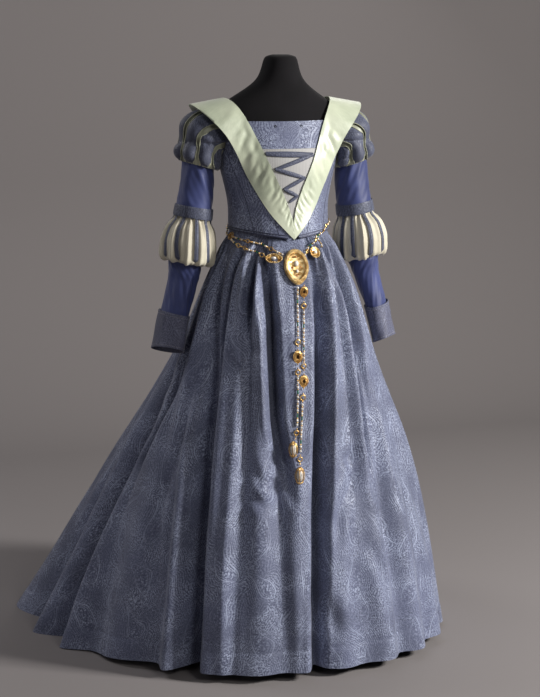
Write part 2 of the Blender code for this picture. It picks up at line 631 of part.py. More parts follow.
def capped(name, grid, material):
    """A closed tube from rings, both ends capped."""
    rows, columns = grid.shape[:2]
    points = grid.reshape(-1, 3)
    faces = []
    for r in range(rows - 1):
        for c in range(columns):
            n = (c + 1) % columns
            faces.append((r * columns + c, r * columns + n, (r + 1) * columns + n, (r + 1) * columns + c))
    faces.append(tuple(range(columns))[::-1])
    faces.append(tuple(range((rows - 1) * columns, rows * columns)))
    return mesh_object(name, points, outward(points, faces), material)


def arm_point(ring, turn, grow=0.0):
    """A point of an arm ring, turn 0 on the outer side, moved out by grow."""
    x, y, z, tilt, twist, half_out, half_deep = ring
    tilt, twist = math.radians(tilt), math.radians(twist)
    out = Vector((-math.sin(tilt), 0, math.cos(tilt)))
    deep = Vector((0, 1, 0))
    first = out * math.cos(twist) + deep * math.sin(twist)
    second = deep * math.cos(twist) - out * math.sin(twist)
    return (Vector((x, y, z)) + first * ((half_out + grow) * math.cos(turn))
            + second * ((half_deep + grow) * math.sin(turn)))


def ring_between(inner_x, inner_z, outer_x, outer_z, y, half_deep):
    """The same kind of ring from its two side points."""
    half = math.hypot(outer_x - inner_x, outer_z - inner_z) / 2
    tilt = math.degrees(math.atan2(inner_x - outer_x, outer_z - inner_z))
    return ((inner_x + outer_x) / 2, y, (inner_z + outer_z) / 2, tilt, 0, half, half_deep)


def ring_grid(rings, turns, grow=0.0):
    return np.array([[arm_point(ring, t, grow) for t in turns] for ring in rings])


def even_turns(count):
    return [2 * math.pi * k / count for k in range(count)]


def mirrored_pair(name, build):
    """Builds the wearer's left piece and its mirror image."""
    build(f"{name}_left", (1, 1, 1))
    build(f"{name}_right", (-1, 1, 1))


def tube(name, grid, material, flip, thickness=SLEEVE_WALL):
    """An open sleeve tube whose outer face is the grid."""
    normals = grid_normals(grid, True)
    axis = grid.mean(axis=1, keepdims=True)
    if ((grid - axis) * normals).sum() < 0:
        normals = -normals
    wall(name, grid * flip, (grid - normals * thickness) * flip, material, True)


def cage(name, grid, per_pane, slit_from, material, flip, thickness=SLEEVE_WALL):
    """Panes slashed in a tube: full rings at both ends, and open from column slit_from on in each pane."""
    normals = grid_normals(grid, True)
    axis = grid.mean(axis=1, keepdims=True)
    if ((grid - axis) * normals).sum() < 0:
        normals = -normals
    outer, inner = grid, grid - normals * thickness
    rows, columns = grid.shape[:2]
    points = np.concatenate([outer.reshape(-1, 3), inner.reshape(-1, 3)]) * flip
    half = rows * columns

    def cloth(r, c):
        if r < 0 or r >= rows - 1:
            return False
        return r in (0, rows - 2) or c % per_pane < slit_from

    def at(r, c, side):
        return side * half + r * columns + c % columns

    faces = []
    for r in range(rows - 1):
        for c in range(columns):
            if not cloth(r, c):
                continue
            a, b, d, e = (r, c), (r, c + 1), (r + 1, c + 1), (r + 1, c)
            faces.append(tuple(at(*p, 0) for p in (a, b, d, e)))
            faces.append(tuple(at(*p, 1) for p in (a, e, d, b)))
            for edge, beside in (((a, b), cloth(r - 1, c)), ((d, e), cloth(r + 1, c)),
                                 ((e, a), cloth(r, (c - 1) % columns)), ((b, d), cloth(r, (c + 1) % columns))):
                if not beside:
                    p, q = edge
                    faces.append((at(*p, 0), at(*p, 1), at(*q, 1), at(*q, 0)))
    used = sorted({i for f in faces for i in f})
    renumber = {old: new for new, old in enumerate(used)}
    points = points[used]
    faces = [tuple(renumber[i] for i in f) for f in faces]
    mesh_object(name, points, outward(points, faces), material)


def sleeve_head(grow, turns):
    """The sleeve's first ring: the armhole line, laid over the bodice's edge."""
    y0, z0, half_y, half_z = ARMHOLE
    ring = []
    for turn in turns:
        y = y0 + (half_y + grow) * math.sin(turn)
        z = z0 + (half_z + grow) * math.cos(turn)
        hit, normal = FORM_SKIN.ray((1, y, z), (-1, 0, 0))
        ring.append(hit + normal * (BODICE_OUT + SLEEVE_WALL + SEAM_GAP))
    return np.array([ring])


def pane_turns(panes, inside, share):
    """Turns of the columns: each pane has its own columns over its share, then one slit."""
    turns = []
    for k in range(panes):
        start = (k - share / 2) / panes
        for j in range(inside + 1):
            turns.append(2 * math.pi * (start + share / panes * j / inside))
    return turns


def sleeves():
    """Paned shoulder puff, upper sleeve, elbow band, paned elbow puff, lower sleeve and cuff."""
    turns = even_turns(ARM_SIDES)
    shoulder = [ring_between(*row) for row in SHOULDER_PUFF]

    def lining(name, flip):
        rings = ring_grid(shoulder[::2] + shoulder[-1:], turns, -LINING_INSET)
        grid = np.concatenate([sleeve_head(HEAD_INSET, turns), rings])
        tube(name, grid, "satin", flip)

    def panes(name, flip):
        across = pane_turns(SHOULDER_PANES, 2, PANE_SHARE)
        grid = np.concatenate([sleeve_head(PANE_HEAD_OUTSET, across), ring_grid(shoulder, across)])
        swell = np.sin(np.linspace(0, math.pi, len(grid))) * PANE_SWELL
        out = grid - grid.mean(axis=1, keepdims=True)
        out /= np.linalg.norm(out, axis=2, keepdims=True)
        middle = np.array([1.0 if k % 3 == 1 else 0.0 for k in range(len(across))])
        grid = grid + out * swell[:, None, None] * middle[None, :, None]
        cage(name, grid, 3, 2, "damask", flip)

    def elbow_puff(name, flip):
        across = []
        bulge = []
        for k in range(ELBOW_PANES):
            for part, rise in ((-0.16, 0.0), (0.16, 0.0), (0.5, 1.0)):
                across.append(2 * math.pi * (k + part) / ELBOW_PANES)
                bulge.append(rise)
        grid = ring_grid(ELBOW_PUFF, across)
        out = grid - grid.mean(axis=1, keepdims=True)
        out /= np.linalg.norm(out, axis=2, keepdims=True)
        swell = np.array(ELBOW_SWELL) * PUFF_SWELL
        grid = grid + out * swell[:, None, None] * np.array(bulge)[None, :, None]
        tube(name, grid, "cream", flip)

    def elbow_panes(name, flip):
        across = []
        for k in range(ELBOW_PANES):
            across += [2 * math.pi * (k + part) / ELBOW_PANES for part in (-0.12, 0.12, 0.5)]
        rings = [list(r) for r in ELBOW_PUFF]
        last = [a + (b - a) * 0.85 for a, b in zip(rings[-2], rings[-1])]
        grid = ring_grid([*rings[:-1], last, rings[-1]], across, STRIP_LIFT)
        cage(name, grid, 3, 1, "damask", flip)

    def plain(rings, material, grow=0.0, point=0.0):
        def build(name, flip):
            grid = ring_grid(rings, turns, grow)
            if point:
                for c, turn in enumerate(turns):
                    grid[-1, c, 2] -= point * math.cos(turn - 2.2)
            tube(name, grid, material, flip)
        return build

    mirrored_pair("sleeve_shoulder_lining", lining)
    mirrored_pair("sleeve_shoulder_panes", panes)
    mirrored_pair("sleeve_upper", plain(UPPER_SLEEVE, "silk"))
    mirrored_pair("sleeve_elbow_band", plain(ELBOW_BAND, "damask"))
    mirrored_pair("sleeve_elbow_puff", elbow_puff)
    mirrored_pair("sleeve_elbow_panes", elbow_panes)
    mirrored_pair("sleeve_lower", plain(LOWER_SLEEVE, "silk"))
    mirrored_pair("cuff", plain(CUFF, "damask", point=CUFF_POINT))


def skirt_reach(degrees, z):
    """Envelope of the folds: the reach from the skirt's centre in a direction, at a height."""
    directions = np.array(SKIRT_DIRECTIONS, float)
    reach = np.array([smooth(SKIRT, k + 1, z) for k in range(len(directions))])
    places = np.concatenate([directions - 360, directions, directions + 360])
    values = np.concatenate([reach, reach, reach])
    at = (degrees + 90) % 360 - 90
    rows = list(zip(places, values))
    return smooth(rows, 1, at)


def skirt_grid(rows):
    """The skirt's outer face, fold by fold: FOLD_COLUMNS points from each valley to the next."""
    count = len(FOLDS)
    grid = np.empty((len(rows), count * FOLD_COLUMNS, 3))
    top = SKIRT[0][0]
    for r, z in enumerate(rows):
        drop = (WAIST_Z - z) / WAIST_Z
        for k in range(count):
            here, after = FOLDS[k], FOLDS[(k + 1) % count]
            wrap = 360 if k == count - 1 else 0
            blend = ease(drop * 1.15)
            a0 = here[0] + (here[1] - here[0]) * blend
            a1 = after[0] + wrap + (after[1] - after[0]) * blend
            depth0 = fold_depth(here, z)
            depth1 = fold_depth(after, z)
            for j in range(FOLD_COLUMNS):
                u = j / FOLD_COLUMNS
                degrees = a0 + (a1 - a0) * u
                angle = math.radians(degrees)
                depth = depth0 + (depth1 - depth0) * u
                sharp = (1 - math.sin(math.pi * u)) ** 1.6
                broad = (0.5 + 0.5 * math.cos(2 * math.pi * u)) ** 1.3
                hollow = sharp + (broad - sharp) * ease(drop * 1.4 - 0.2)
                gather = here[4] * GATHER * (0.5 + 0.5 * math.cos(4 * math.pi * u))
                below_hem = bodice_hem(angle) - 0.003 - z
                gather *= ease(below_hem / 0.030) * (1 - ease((1.06 - z) / 0.22))
                waist = FORM_SKIN.around(angle, max(z, 1.0), SKIRT_LIFT, SKIRT_CENTRE_Y)
                near = math.hypot(waist.x, waist.y - SKIRT_CENTRE_Y)
                if z > top:
                    span = ease((SPRING_Z - z) / (SPRING_Z - top))
                    far = skirt_reach(degrees, top)
                    reach = near + (far - near) * span
                else:
                    reach = skirt_reach(degrees, z)
                reach -= depth * hollow + gather
                reach = max(reach, near if z > 1.0 else 0.0)
                grid[r, k * FOLD_COLUMNS + j] = (reach * math.cos(angle),
                                                 SKIRT_CENTRE_Y + reach * math.sin(angle),
                                                 z + hem_lift(degrees) * ease((0.5 - z) / 0.5))
    return grid


def fold_depth(fold, z):
    """How deep a valley is at a height: nothing at the waist, its own depths at mid height and at the hem."""
    rows = [(0.0, fold[3]), (0.30, (fold[2] + fold[3]) / 2), (0.60, fold[2]), (0.90, fold[2] * 0.55),
            (1.06, fold[2] * 0.12), (FOLDS_START_Z, 0.0)]
    return smooth(rows, 1, z)


def hem_lift(degrees):
    """The hem's height above the floor: the front hangs clear, the train rests on it."""
    off_front = abs((degrees + 270) % 360 - 180)
    return HEM_LIFT * (1 - ease((off_front - 55) / 45))


def skirt():
    """Gathered gores and the waistband that they are sewn to."""
    grid = skirt_grid(SKIRT_ROWS)
    normals = grid_normals(grid, True)
    if (normals[:, :, 2].mean()) < 0:
        normals = -normals
    outer, inner = grid, grid - normals * SKIRT_WALL
    inner[0, :, 2] = outer[0, :, 2]
    inner[-1, :, 2] = outer[-1, :, 2]
    total = grid.shape[1]
    for name, (first, last) in SKIRT_PANELS.items():
        columns = [c % total for c in range(first * FOLD_COLUMNS, last * FOLD_COLUMNS + 1)]
        faces = []
        for face in (outer, inner):
            cut = face[:, columns].copy()
            for end, beside in ((0, 1), (-1, -2)):
                step = cut[:, beside] - cut[:, end]
                step /= np.linalg.norm(step, axis=1, keepdims=True)
                cut[:, end] += step * SEAM_GAP / 2
            faces.append(cut)
        wall(name, faces[0], faces[1], "damask", False)
    turns = even_turns(40)
    rows = (WAIST_Z + WAISTBAND, WAIST_Z + SEAM_GAP)
    faces = [np.array([[FORM_SKIN.around(t, z, lift, SKIRT_CENTRE_Y) for t in turns] for z in rows])
             for lift in (0.0018, 0.0004)]
    wall("skirt_waistband", faces[0], faces[1], "damask", True)


def dress_form():
    """Torso with its neck and cap, a pole and a round foot."""
    rows = []
    for z in FORM_ROWS:
        rows.append([form_point(t, z) for t in even_turns(FORM_SIDES)])
    cap = BODY[-1]
    for shrink, rise in ((0.80, 0.006), (0.45, 0.010)):
        middle = (cap[3] - cap[2]) / 2
        half = (cap[3] + cap[2]) / 2
        width = cap[1] * shrink
        rows.append([Vector((width * math.cos(t), middle + half * shrink * math.sin(t), cap[0] + rise))
                     for t in even_turns(FORM_SIDES)])
    capped("form_torso", np.array(rows), "jersey")
    pole = []
    for z in (FOOT[-1][1] + SEAM_GAP, BODY[0][0] - SEAM_GAP):
        pole.append([Vector((POLE_RADIUS * math.cos(t), POLE_RADIUS * math.sin(t), z)) for t in even_turns(12)])
    capped("form_pole", np.array(pole), "steel")
    foot = []
    for radius, z in FOOT:
        foot.append([Vector((radius * math.cos(t), radius * math.sin(t), z)) for t in even_turns(24)])
    capped("form_foot", np.array(foot), "steel")


def clear_scene():
    for item in list(bpy.data.objects):
        bpy.data.objects.remove(item)


def make_materials():
    made = {}
    for name, (colour, roughness) in PALETTE.items():
        material = bpy.data.materials.new(name)
        material.use_nodes = True
        shader = material.node_tree.nodes["Principled BSDF"]
        shader.inputs["Base Color"].default_value = colour
        shader.inputs["Roughness"].default_value = roughness
        shader.inputs["Metallic"].default_value = 1.0 if name in ("gilt", "steel") else 0.0
        made[name] = material
    return made


def worn_surface():
    """The outside of the skirt and bodice together, for the girdle to lie on."""
    points, faces = [], []
    for item in bpy.context.scene.objects:
        if item.name.startswith(("skirt_front", "skirt_side", "skirt_back", "bodice", "collar")):
            start = len(points)
            points += [v.co.copy() for v in item.data.vertices]
            faces += [tuple(start + i for i in f.vertices) for f in item.data.polygons]
    return BVHTree.FromPolygons(points, faces)


def reach_at(tree, degrees, z, spread, height):
    """How far out the dress comes near a direction and a height."""
    reach = 0.0
    for da in (-1, -0.5, 0, 0.5, 1):
        for dz in (-1, 0, 1):
            angle = math.radians(degrees + da * spread)
            direction = Vector((math.cos(angle), math.sin(angle), 0))
            start = Vector((0, SKIRT_CENTRE_Y, z + dz * height)) + direction
            hit = tree.ray_cast(start, -direction)[0]
            if hit:
                reach = max(reach, math.hypot(hit.x, hit.y - SKIRT_CENTRE_Y))
    return reach


def girdle_chain(name, tree, path):
    """A bead chain as a plain tube lying round the hips."""
    table = [(0.0, *path[0])]
    for (a0, z0), (a1, z1) in zip(path, path[1:]):
        table.append((table[-1][0] + math.hypot(math.radians(a1 - a0) * 0.15, z1 - z0), a1, z1))
    stations = max(3, round(table[-1][0] / CHAIN_STEP))
    middle = []
    for k in range(stations):
        at = table[-1][0] * k / (stations - 1)
        degrees, z = smooth(table, 1, at), smooth(table, 2, at)
        reach = reach_at(tree, degrees, z, 3.6, CHAIN_HALF) + CHAIN_CLEAR + CHAIN_HALF
        angle = math.radians(degrees)
        middle.append(Vector((reach * math.cos(angle), SKIRT_CENTRE_Y + reach * math.sin(angle), z)))
    sides = 5
    grid = np.empty((stations, sides, 3))
    for k, point in enumerate(middle):
        along = (middle[min(k + 1, stations - 1)] - middle[max(k - 1, 0)]).normalized()
        out = Vector((point.x, point.y - SKIRT_CENTRE_Y, 0)).normalized()
        across = along.cross(out).normalized()
        out = across.cross(along)
        for c, turn in enumerate(even_turns(sides)):
            grid[k, c] = point + (out * math.cos(turn) + across * math.sin(turn)) * CHAIN_HALF
    capped(name, grid, "gilt")


def lying(tree, direction, middle, normal, half_across, half_up):
    """How far out along the normal a flat back must stay to clear the dress."""
    sideways = Vector((0, 0, 1)).cross(direction).normalized()
    up = normal.cross(sideways)
    highest = -1.0
    for radius in (0, 0.5, 0.85, 1.0):
        for turn in even_turns(16):
            spot = (middle + sideways * (half_across * radius * math.cos(turn))
                    + up * (half_up * radius * math.sin(turn)))
            hit = tree.ray_cast(spot + normal * 0.2, -normal)[0]
            if hit:
                highest = max(highest, (hit - middle).dot(normal))
    return highest, sideways, up


def girdle_jewel(name, tree, degrees, z, half_across, half_up, thick, narrow):
    """A domed mount lying on the skirt, narrower at its foot where it is egg-shaped."""
    angle = math.radians(degrees)
    direction = Vector((math.cos(angle), math.sin(angle), 0))
    reaches = [reach_at(tree, degrees, z + dz, 3, 0.002) for dz in (half_up, -half_up)]
    middle = Vector((0, SKIRT_CENTRE_Y, z)) + direction * (sum(reaches) / 2)
    slope = (direction * (reaches[1] - reaches[0]) - Vector((0, 0, 2 * half_up))).normalized()
    normal = slope.cross(Vector((0, 0, 1)).cross(direction)).normalized()
    if normal.dot(direction) < 0:
        normal = -normal
    back, sideways, up = lying(tree, direction, middle, normal, half_across, half_up)
    middle = middle + normal * (back + CHAIN_CLEAR * 2)
    sides = 16 if half_up > 0.03 else 10
    grid = []
    for scale, rise in ((0.96, 0.0), (1.0, 0.28), (0.90, 0.62), (0.66, 0.80), (0.34, 1.0)):
        ring = []
        for turn in even_turns(sides):
            width = half_across * (1 - narrow * max(0.0, -math.sin(turn)) ** 1.5)
            ring.append(middle + sideways * (width * scale * math.cos(turn))
                        + up * (half_up * scale * math.sin(turn)) + normal * (thick * rise))
        grid.append(ring)
    capped(name, np.array(grid), "gilt")


def girdle_strand(name, tree, line, profile):
    """A hanging strand of beads as one plain turned tube, lying down the front of the skirt."""
    sides = 5
    grid = np.empty((len(profile), sides, 3))
    for k, (z, half_wide, half_thick) in enumerate(profile):
        x = smooth(line, 1, z)
        half_wide, half_thick = half_wide / 1000, half_thick / 1000
        hits = [tree.ray_cast(Vector((x + dx * half_wide, -1, z + dz)), Vector((0, 1, 0)))[0]
                for dx in (-1, 0, 1) for dz in (-0.001, 0.001)]
        reach = max(-hit.y for hit in hits if hit)
        flat_back = half_thick * math.cos(math.pi / sides)
        middle = Vector((x, -reach - CHAIN_CLEAR - flat_back, z))
        for c, turn in enumerate(even_turns(sides)):
            turn += math.pi / 2
            grid[k, c] = middle + Vector((half_wide * math.cos(turn), -half_thick * math.sin(turn), 0))
    capped(name, grid, "gilt")


def girdle():
    tree = worn_surface()
    for name, path in CHAINS.items():
        girdle_chain(name, tree, path)
    for name, row in JEWELS.items():
        girdle_jewel(name, tree, *row)
    for name, (line, profile) in STRANDS.items():
        girdle_strand(name, tree, line, profile)


clear_scene()
MATERIALS = make_materials()
skin_rows = np.linspace(BODY[0][0], BODY[-1][0], 180)
FORM_SKIN = Surface(np.array([[body_point(2 * math.pi * c / 144, z) for c in range(144)] for z in skin_rows]))
dress_form()
bodice()
collar()
lacing()
sleeves()
skirt()
girdle()
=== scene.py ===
# %% [markdown]
# # A Renaissance court dress
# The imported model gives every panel, sleeve and jewel as a plain solid. This lesson lays finer cloth, cords,
# beads and gilding over those solids, with every length in metres and the floor at zero. The wearer faces -Y.

# %% Load the frame
import itertools
import json
import math

import bmesh
import bpy
import numpy as np
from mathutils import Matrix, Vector
from mathutils.bvhtree import BVHTree

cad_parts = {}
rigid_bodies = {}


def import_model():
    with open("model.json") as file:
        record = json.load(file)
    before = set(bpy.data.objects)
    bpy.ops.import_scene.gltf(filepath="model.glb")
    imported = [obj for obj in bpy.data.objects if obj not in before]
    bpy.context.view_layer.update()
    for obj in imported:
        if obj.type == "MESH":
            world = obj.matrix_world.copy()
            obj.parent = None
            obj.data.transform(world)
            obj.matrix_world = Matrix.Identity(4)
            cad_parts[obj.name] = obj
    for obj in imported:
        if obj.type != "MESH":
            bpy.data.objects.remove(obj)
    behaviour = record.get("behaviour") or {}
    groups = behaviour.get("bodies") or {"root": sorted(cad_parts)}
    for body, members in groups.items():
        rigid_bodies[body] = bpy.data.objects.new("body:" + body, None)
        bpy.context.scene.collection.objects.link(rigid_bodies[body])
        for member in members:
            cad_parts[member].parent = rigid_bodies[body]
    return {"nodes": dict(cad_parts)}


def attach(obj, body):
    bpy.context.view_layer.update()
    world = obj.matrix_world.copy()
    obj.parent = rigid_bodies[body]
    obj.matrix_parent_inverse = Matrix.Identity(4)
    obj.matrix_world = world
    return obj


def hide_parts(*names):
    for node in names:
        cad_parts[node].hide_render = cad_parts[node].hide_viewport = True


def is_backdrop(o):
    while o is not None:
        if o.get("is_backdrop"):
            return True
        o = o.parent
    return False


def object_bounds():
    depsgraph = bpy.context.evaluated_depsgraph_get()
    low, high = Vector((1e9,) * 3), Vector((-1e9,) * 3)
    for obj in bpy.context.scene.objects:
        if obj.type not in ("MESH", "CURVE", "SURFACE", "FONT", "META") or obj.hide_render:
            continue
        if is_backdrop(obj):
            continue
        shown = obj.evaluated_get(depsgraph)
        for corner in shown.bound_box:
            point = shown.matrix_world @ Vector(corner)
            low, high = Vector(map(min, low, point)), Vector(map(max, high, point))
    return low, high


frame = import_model()
CAD_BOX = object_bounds()
NODES = frame["nodes"]
SIDES = {"left": 1, "right": -1}
print("nodes:", len(NODES), "height:", round(CAD_BOX[1].z, 3))

# %% [markdown]
# ## The camera and the studio
# The photograph was taken from about five metres, a little above the shoulders and to the wearer's right.
# A long lens keeps the tall skirt upright, so the camera is placed by measured angles and not by eye.

# %% Camera
def placed(name, data):
    """A new object, linked to the scene."""
    thing = bpy.data.objects.new(name, data)
    bpy.context.scene.collection.objects.link(thing)
    return thing


TURN, PITCH = math.radians(18.0), math.radians(9.79)
DISTANCE, EYE_HEIGHT = 5.0, 1.65
FOCAL_PIXELS, PICTURE_HEIGHT, SENSOR = 1876.0, 697.0, 36.0
SIDE_STEP = -0.0149
ahead = Vector((math.sin(TURN), math.cos(TURN), 0))
rightward = Vector((math.cos(TURN), -math.sin(TURN), 0))
aim = ahead * math.cos(PITCH) - Vector((0, 0, math.sin(PITCH)))
camera = placed("camera", bpy.data.cameras.new("camera"))
camera.data.sensor_width = SENSOR
camera.data.lens = FOCAL_PIXELS / PICTURE_HEIGHT * SENSOR
camera.location = Vector((0, 0, EYE_HEIGHT)) - ahead * DISTANCE + rightward * SIDE_STEP
camera.rotation_euler = aim.to_track_quat("-Z", "Y").to_euler()
bpy.context.scene.camera = camera
print("lens:", round(camera.data.lens, 1), "mm")


# %% [markdown]
# A strong soft light stands on the viewer's right, a wide one high in front and a weak one on the left. Two
# more stand behind, above the frame, for the shoulders and the train. The floor runs up into a plain wall,
# which is clear from its other side, so that the dress can be seen from behind as well. Damask only shows
# its figure when the light rakes across it.

# %% Studio
def softbox(name, place, target, size, power, colour):
    light = bpy.data.lights.new(name, "AREA")
    light.size, light.energy, light.color = size, power, colour
    lamp = placed(name, light)
    lamp.location = place
    lamp.rotation_euler = (Vector(target) - Vector(place)).to_track_quat("-Z", "Y").to_euler()


def studio_sheet():
    """Floor, a wide curve and the wall behind as one strip, then the floor beyond the wall."""
    wall_at, bend, half = 3.4, 1.0, 8.0
    foot = wall_at - bend
    strip = [(-9.0, 0.0), (foot, 0.0)]
    for k in range(1, 13):
        turn = math.pi / 2 * k / 12
        strip.append((foot + bend * math.sin(turn), bend - bend * math.cos(turn)))
    strip.append((wall_at, 7.0))
    beyond = [(foot, -0.002), (12.0, -0.002)]
    points, faces = [], []
    for side in (strip, beyond):
        start = len(points)
        points += [Vector((x, 0, z)) + ahead * y for y, z in side for x in (-half, half)]
        faces += [(k, k + 1, k + 3, k + 2) for k in range(start, len(points) - 2, 2)]
    mesh = bpy.data.meshes.new("studio")
    mesh.from_pydata(points, [], faces)
    mesh.shade_smooth()
    paint = bpy.data.materials.new("studio paper")
    paint.use_nodes = True
    tree = paint.node_tree
    shader = tree.nodes["Principled BSDF"]
    shader.inputs["Base Color"].default_value = (0.215, 0.197, 0.195, 1)
    shader.inputs["Roughness"].default_value = 0.95
    reverse = tree.nodes.new("ShaderNodeNewGeometry").outputs["Backfacing"]
    clear = tree.nodes.new("ShaderNodeBsdfTransparent").outputs["BSDF"]
    either = tree.nodes.new("ShaderNodeMixShader")
    for socket, place in ((reverse, 0), (shader.outputs["BSDF"], 1), (clear, 2)):
        tree.links.new(socket, either.inputs[place])
    tree.links.new(either.outputs["Shader"], tree.nodes["Material Output"].inputs["Surface"])
    mesh.materials.append(paint)
    placed("studio", mesh)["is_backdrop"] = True


studio_sheet()
softbox("key", (3.05, -2.30, 2.35), (0.0, 0.0, 0.80), 0.75, 250, (1.0, 0.98, 0.95))
softbox("front", (0.55, -4.30, 3.30), (0.0, 0.0, 0.80), 1.2, 40, (1.0, 0.98, 0.96))
softbox("fill", (-3.4, -2.6, 1.7), (0.0, 0.0, 0.8), 2.6, 11, (0.97, 0.95, 1.0))
softbox("back", (1.9, 2.3, 2.9), (0.0, 0.0, 1.0), 1.4, 18, (1.0, 0.98, 0.95))
softbox("train", (-2.3, 1.7, 2.9), (-0.3, 0.3, 0.4), 1.4, 34, (0.98, 0.97, 1.0))
world = bpy.data.worlds.new("studio air")
world.use_nodes = True
air = world.node_tree.nodes["Background"].inputs
air["Color"].default_value = (0.62, 0.60, 0.60, 1)
air["Strength"].default_value = 0.050
bpy.context.scene.world = world
bpy.context.scene.view_settings.view_transform = "Standard"
print("lights:", len(bpy.data.lights))


# %% [markdown]
# ## Shader arithmetic
# A damask figure is geometry drawn in colour, so its material is mostly sums. This small class lets a
# socket take part in Python expressions, and each operator adds the Math node that it stands for.

# %% Sockets in expressions
def math_node(operation):
    """A method that adds one Math node."""
    def method(self, *others):
        return self.maths(operation, *others)
    return method


class Amount:
    """A number that a node gives, ready for arithmetic."""

    def __init__(self, tree, socket):
        self.tree, self.socket = tree, socket

    def maths(self, operation, *others):
        node = self.tree.nodes.new("ShaderNodeMath")
        node.operation = operation
        for place, value in enumerate((self, *others)):
            if isinstance(value, Amount):
                self.tree.links.new(value.socket, node.inputs[place])
            else:
                node.inputs[place].default_value = value
        return Amount(self.tree, node.outputs[0])

    __add__ = __radd__ = math_node("ADD")
    __mul__ = __rmul__ = math_node("MULTIPLY")
    __sub__ = math_node("SUBTRACT")
    __truediv__ = math_node("DIVIDE")
    __pow__ = math_node("POWER")
    least = math_node("MINIMUM")
    most = math_node("MAXIMUM")
    size = math_node("ABSOLUTE")
    part = math_node("FRACT")
    whole = math_node("FLOOR")
    root = math_node("SQRT")

    def __rsub__(self, other):
        return self * -1.0 + other

    def step(self, low, high):
        """0 below low and 1 above high, with a soft slope between."""
        node = self.tree.nodes.new("ShaderNodeMapRange")
        node.interpolation_type = "SMOOTHSTEP"
        self.tree.links.new(self.socket, node.inputs["Value"])
        node.inputs["From Min"].default_value, node.inputs["From Max"].default_value = low, high
        return Amount(self.tree, node.outputs["Result"])


class Finish:
    """A material in the making. Its surface is one Principled shader."""

    def __init__(self, name):
        self.material = bpy.data.materials.new(name)
        self.material.use_nodes = True
        self.tree = self.material.node_tree
        self.shader = self.tree.nodes["Principled BSDF"]

    def node(self, kind, settings=(), sockets=()):
        """Adds a node, sets it, then fills its sockets with values or links."""
        node = self.tree.nodes.new("ShaderNode" + kind)
        for key, value in dict(settings).items():
            setattr(node, key, value)
        for key, value in dict(sockets).items():
            self.fill(node.inputs[key], value)
        return node

    def fill(self, socket, value):
        if isinstance(value, Amount):
            self.tree.links.new(value.socket, socket)
        elif isinstance(value, bpy.types.NodeSocket):
            self.tree.links.new(value, socket)
        elif socket.type == "RGBA":
            socket.default_value = (*value, 1)
        else:
            socket.default_value = value

    def place(self, source, scale=None):
        """Cloth (UV, in metres) or Object coordinates, stretched by scale."""
        found = self.node("TexCoord").outputs[source]
        if scale is None:
            return found
        return self.node("VectorMath", {"operation": "MULTIPLY"}, {0: found, 1: scale}).outputs[0]

    def noise(self, where, scale, detail, roughness=0.5):
        made = self.node("TexNoise", {}, {"Vector": where, "Scale": scale, "Detail": detail,
                                          "Roughness": roughness})
        return Amount(self.tree, made.outputs["Fac"])

    def blend(self, share, first, second):
        """Colours are mixed by a Mix node, because a Math node would turn them grey."""
        made = self.node("Mix", {"data_type": "RGBA"}, {0: share, 6: first, 7: second})
        return made.outputs[2]

    def relief(self, height, depth, strength):
        """A bump of that depth in metres, after any bump that is there already."""
        sockets = {"Height": height, "Distance": depth, "Strength": strength}
        linked = self.shader.inputs["Normal"].links
        if linked:
            sockets["Normal"] = linked[0].from_socket
        self.fill(self.shader.inputs["Normal"], self.node("Bump", {}, sockets).outputs[0])

    def look(self, **sockets):
        for key, value in sockets.items():
            self.fill(self.shader.inputs[key.replace("_", " ")], value)
        return self.material


# %% [markdown]
# ## Damask
# The cloth is a one-colour silk woven so that a paisley figure catches the light. Here the figure is also
# painted paler than the ground, more in some patches than in others: painted sheen. Each repeat holds a
# curled drop with a small flower above it, and fine lines echo outwards from both until they meet their
# neighbours.
# A picture of the figure would blur close up. Here it is drawn by distance: how far a point lies outside a
# drop, so that evenly spaced contours of that distance become the echoing lines.

# %% The damask's drawing
REPEAT_WIDE, REPEAT_TALL = 0.104, 0.142
ECHO = 0.0058


def paisley_distance(finish, cloth_place):
    """Metres outside the nearest drop or flower, negative inside. Each drop leans its own way."""
    split = finish.node("SeparateXYZ", {}, {0: cloth_place})
    u, v = (Amount(finish.tree, split.outputs[k]) for k in (0, 1))
    sway = finish.noise(cloth_place, 7.0, 1.0) - 0.5
    swirl = finish.noise(finish.place("UV", (11, 8, 1)), 1.0, 1.0) - 0.5
    u, v = u + sway * 0.075, v + swirl * 0.085
    column = (u / REPEAT_WIDE).whole()
    odd = (column * 0.5).part() * 2.0
    x = ((u / REPEAT_WIDE).part() - 0.5) * REPEAT_WIDE * (1.0 - odd * 2.0)
    rise = v / REPEAT_TALL + odd * 0.5
    y = (rise.part() - 0.5) * REPEAT_TALL
    chance = ((column * 12.99 + rise.whole() * 78.23).maths("SINE") * 4375.85).part()
    lean = (chance - 0.5) * 1.3
    turn_x, turn_y = lean.maths("COSINE"), lean.maths("SINE")
    x, y = x * turn_x - y * turn_y, x * turn_y + y * turn_x
    curl = (y + 0.012).most(0.0) ** 2.0 * 7.5
    off_axis = (x - curl + 0.008).size()
    along = ((y + 0.050) / 0.102).most(0.0001).least(1.0)
    half = along.root() * ((1.0 - along).most(0.0) ** 0.9) * 0.062
    side = off_axis - half
    beyond = ((y * -1.0) - 0.050).most(y - 0.052).most(0.0)
    drop = side.least(0.0) + (side.most(0.0) ** 2.0 + beyond ** 2.0).root()
    y_flower = ((rise + 0.5).part() - 0.5) * REPEAT_TALL
    angle = y_flower.maths("ARCTAN2", x)
    petals = (angle * 6.0).maths("COSINE") * 0.0030 + 0.0130
    flower = (x ** 2.0 + y_flower ** 2.0).root() - petals
    return drop.least(flower)


def shaded(colour, share):
    return tuple(part * share for part in colour)


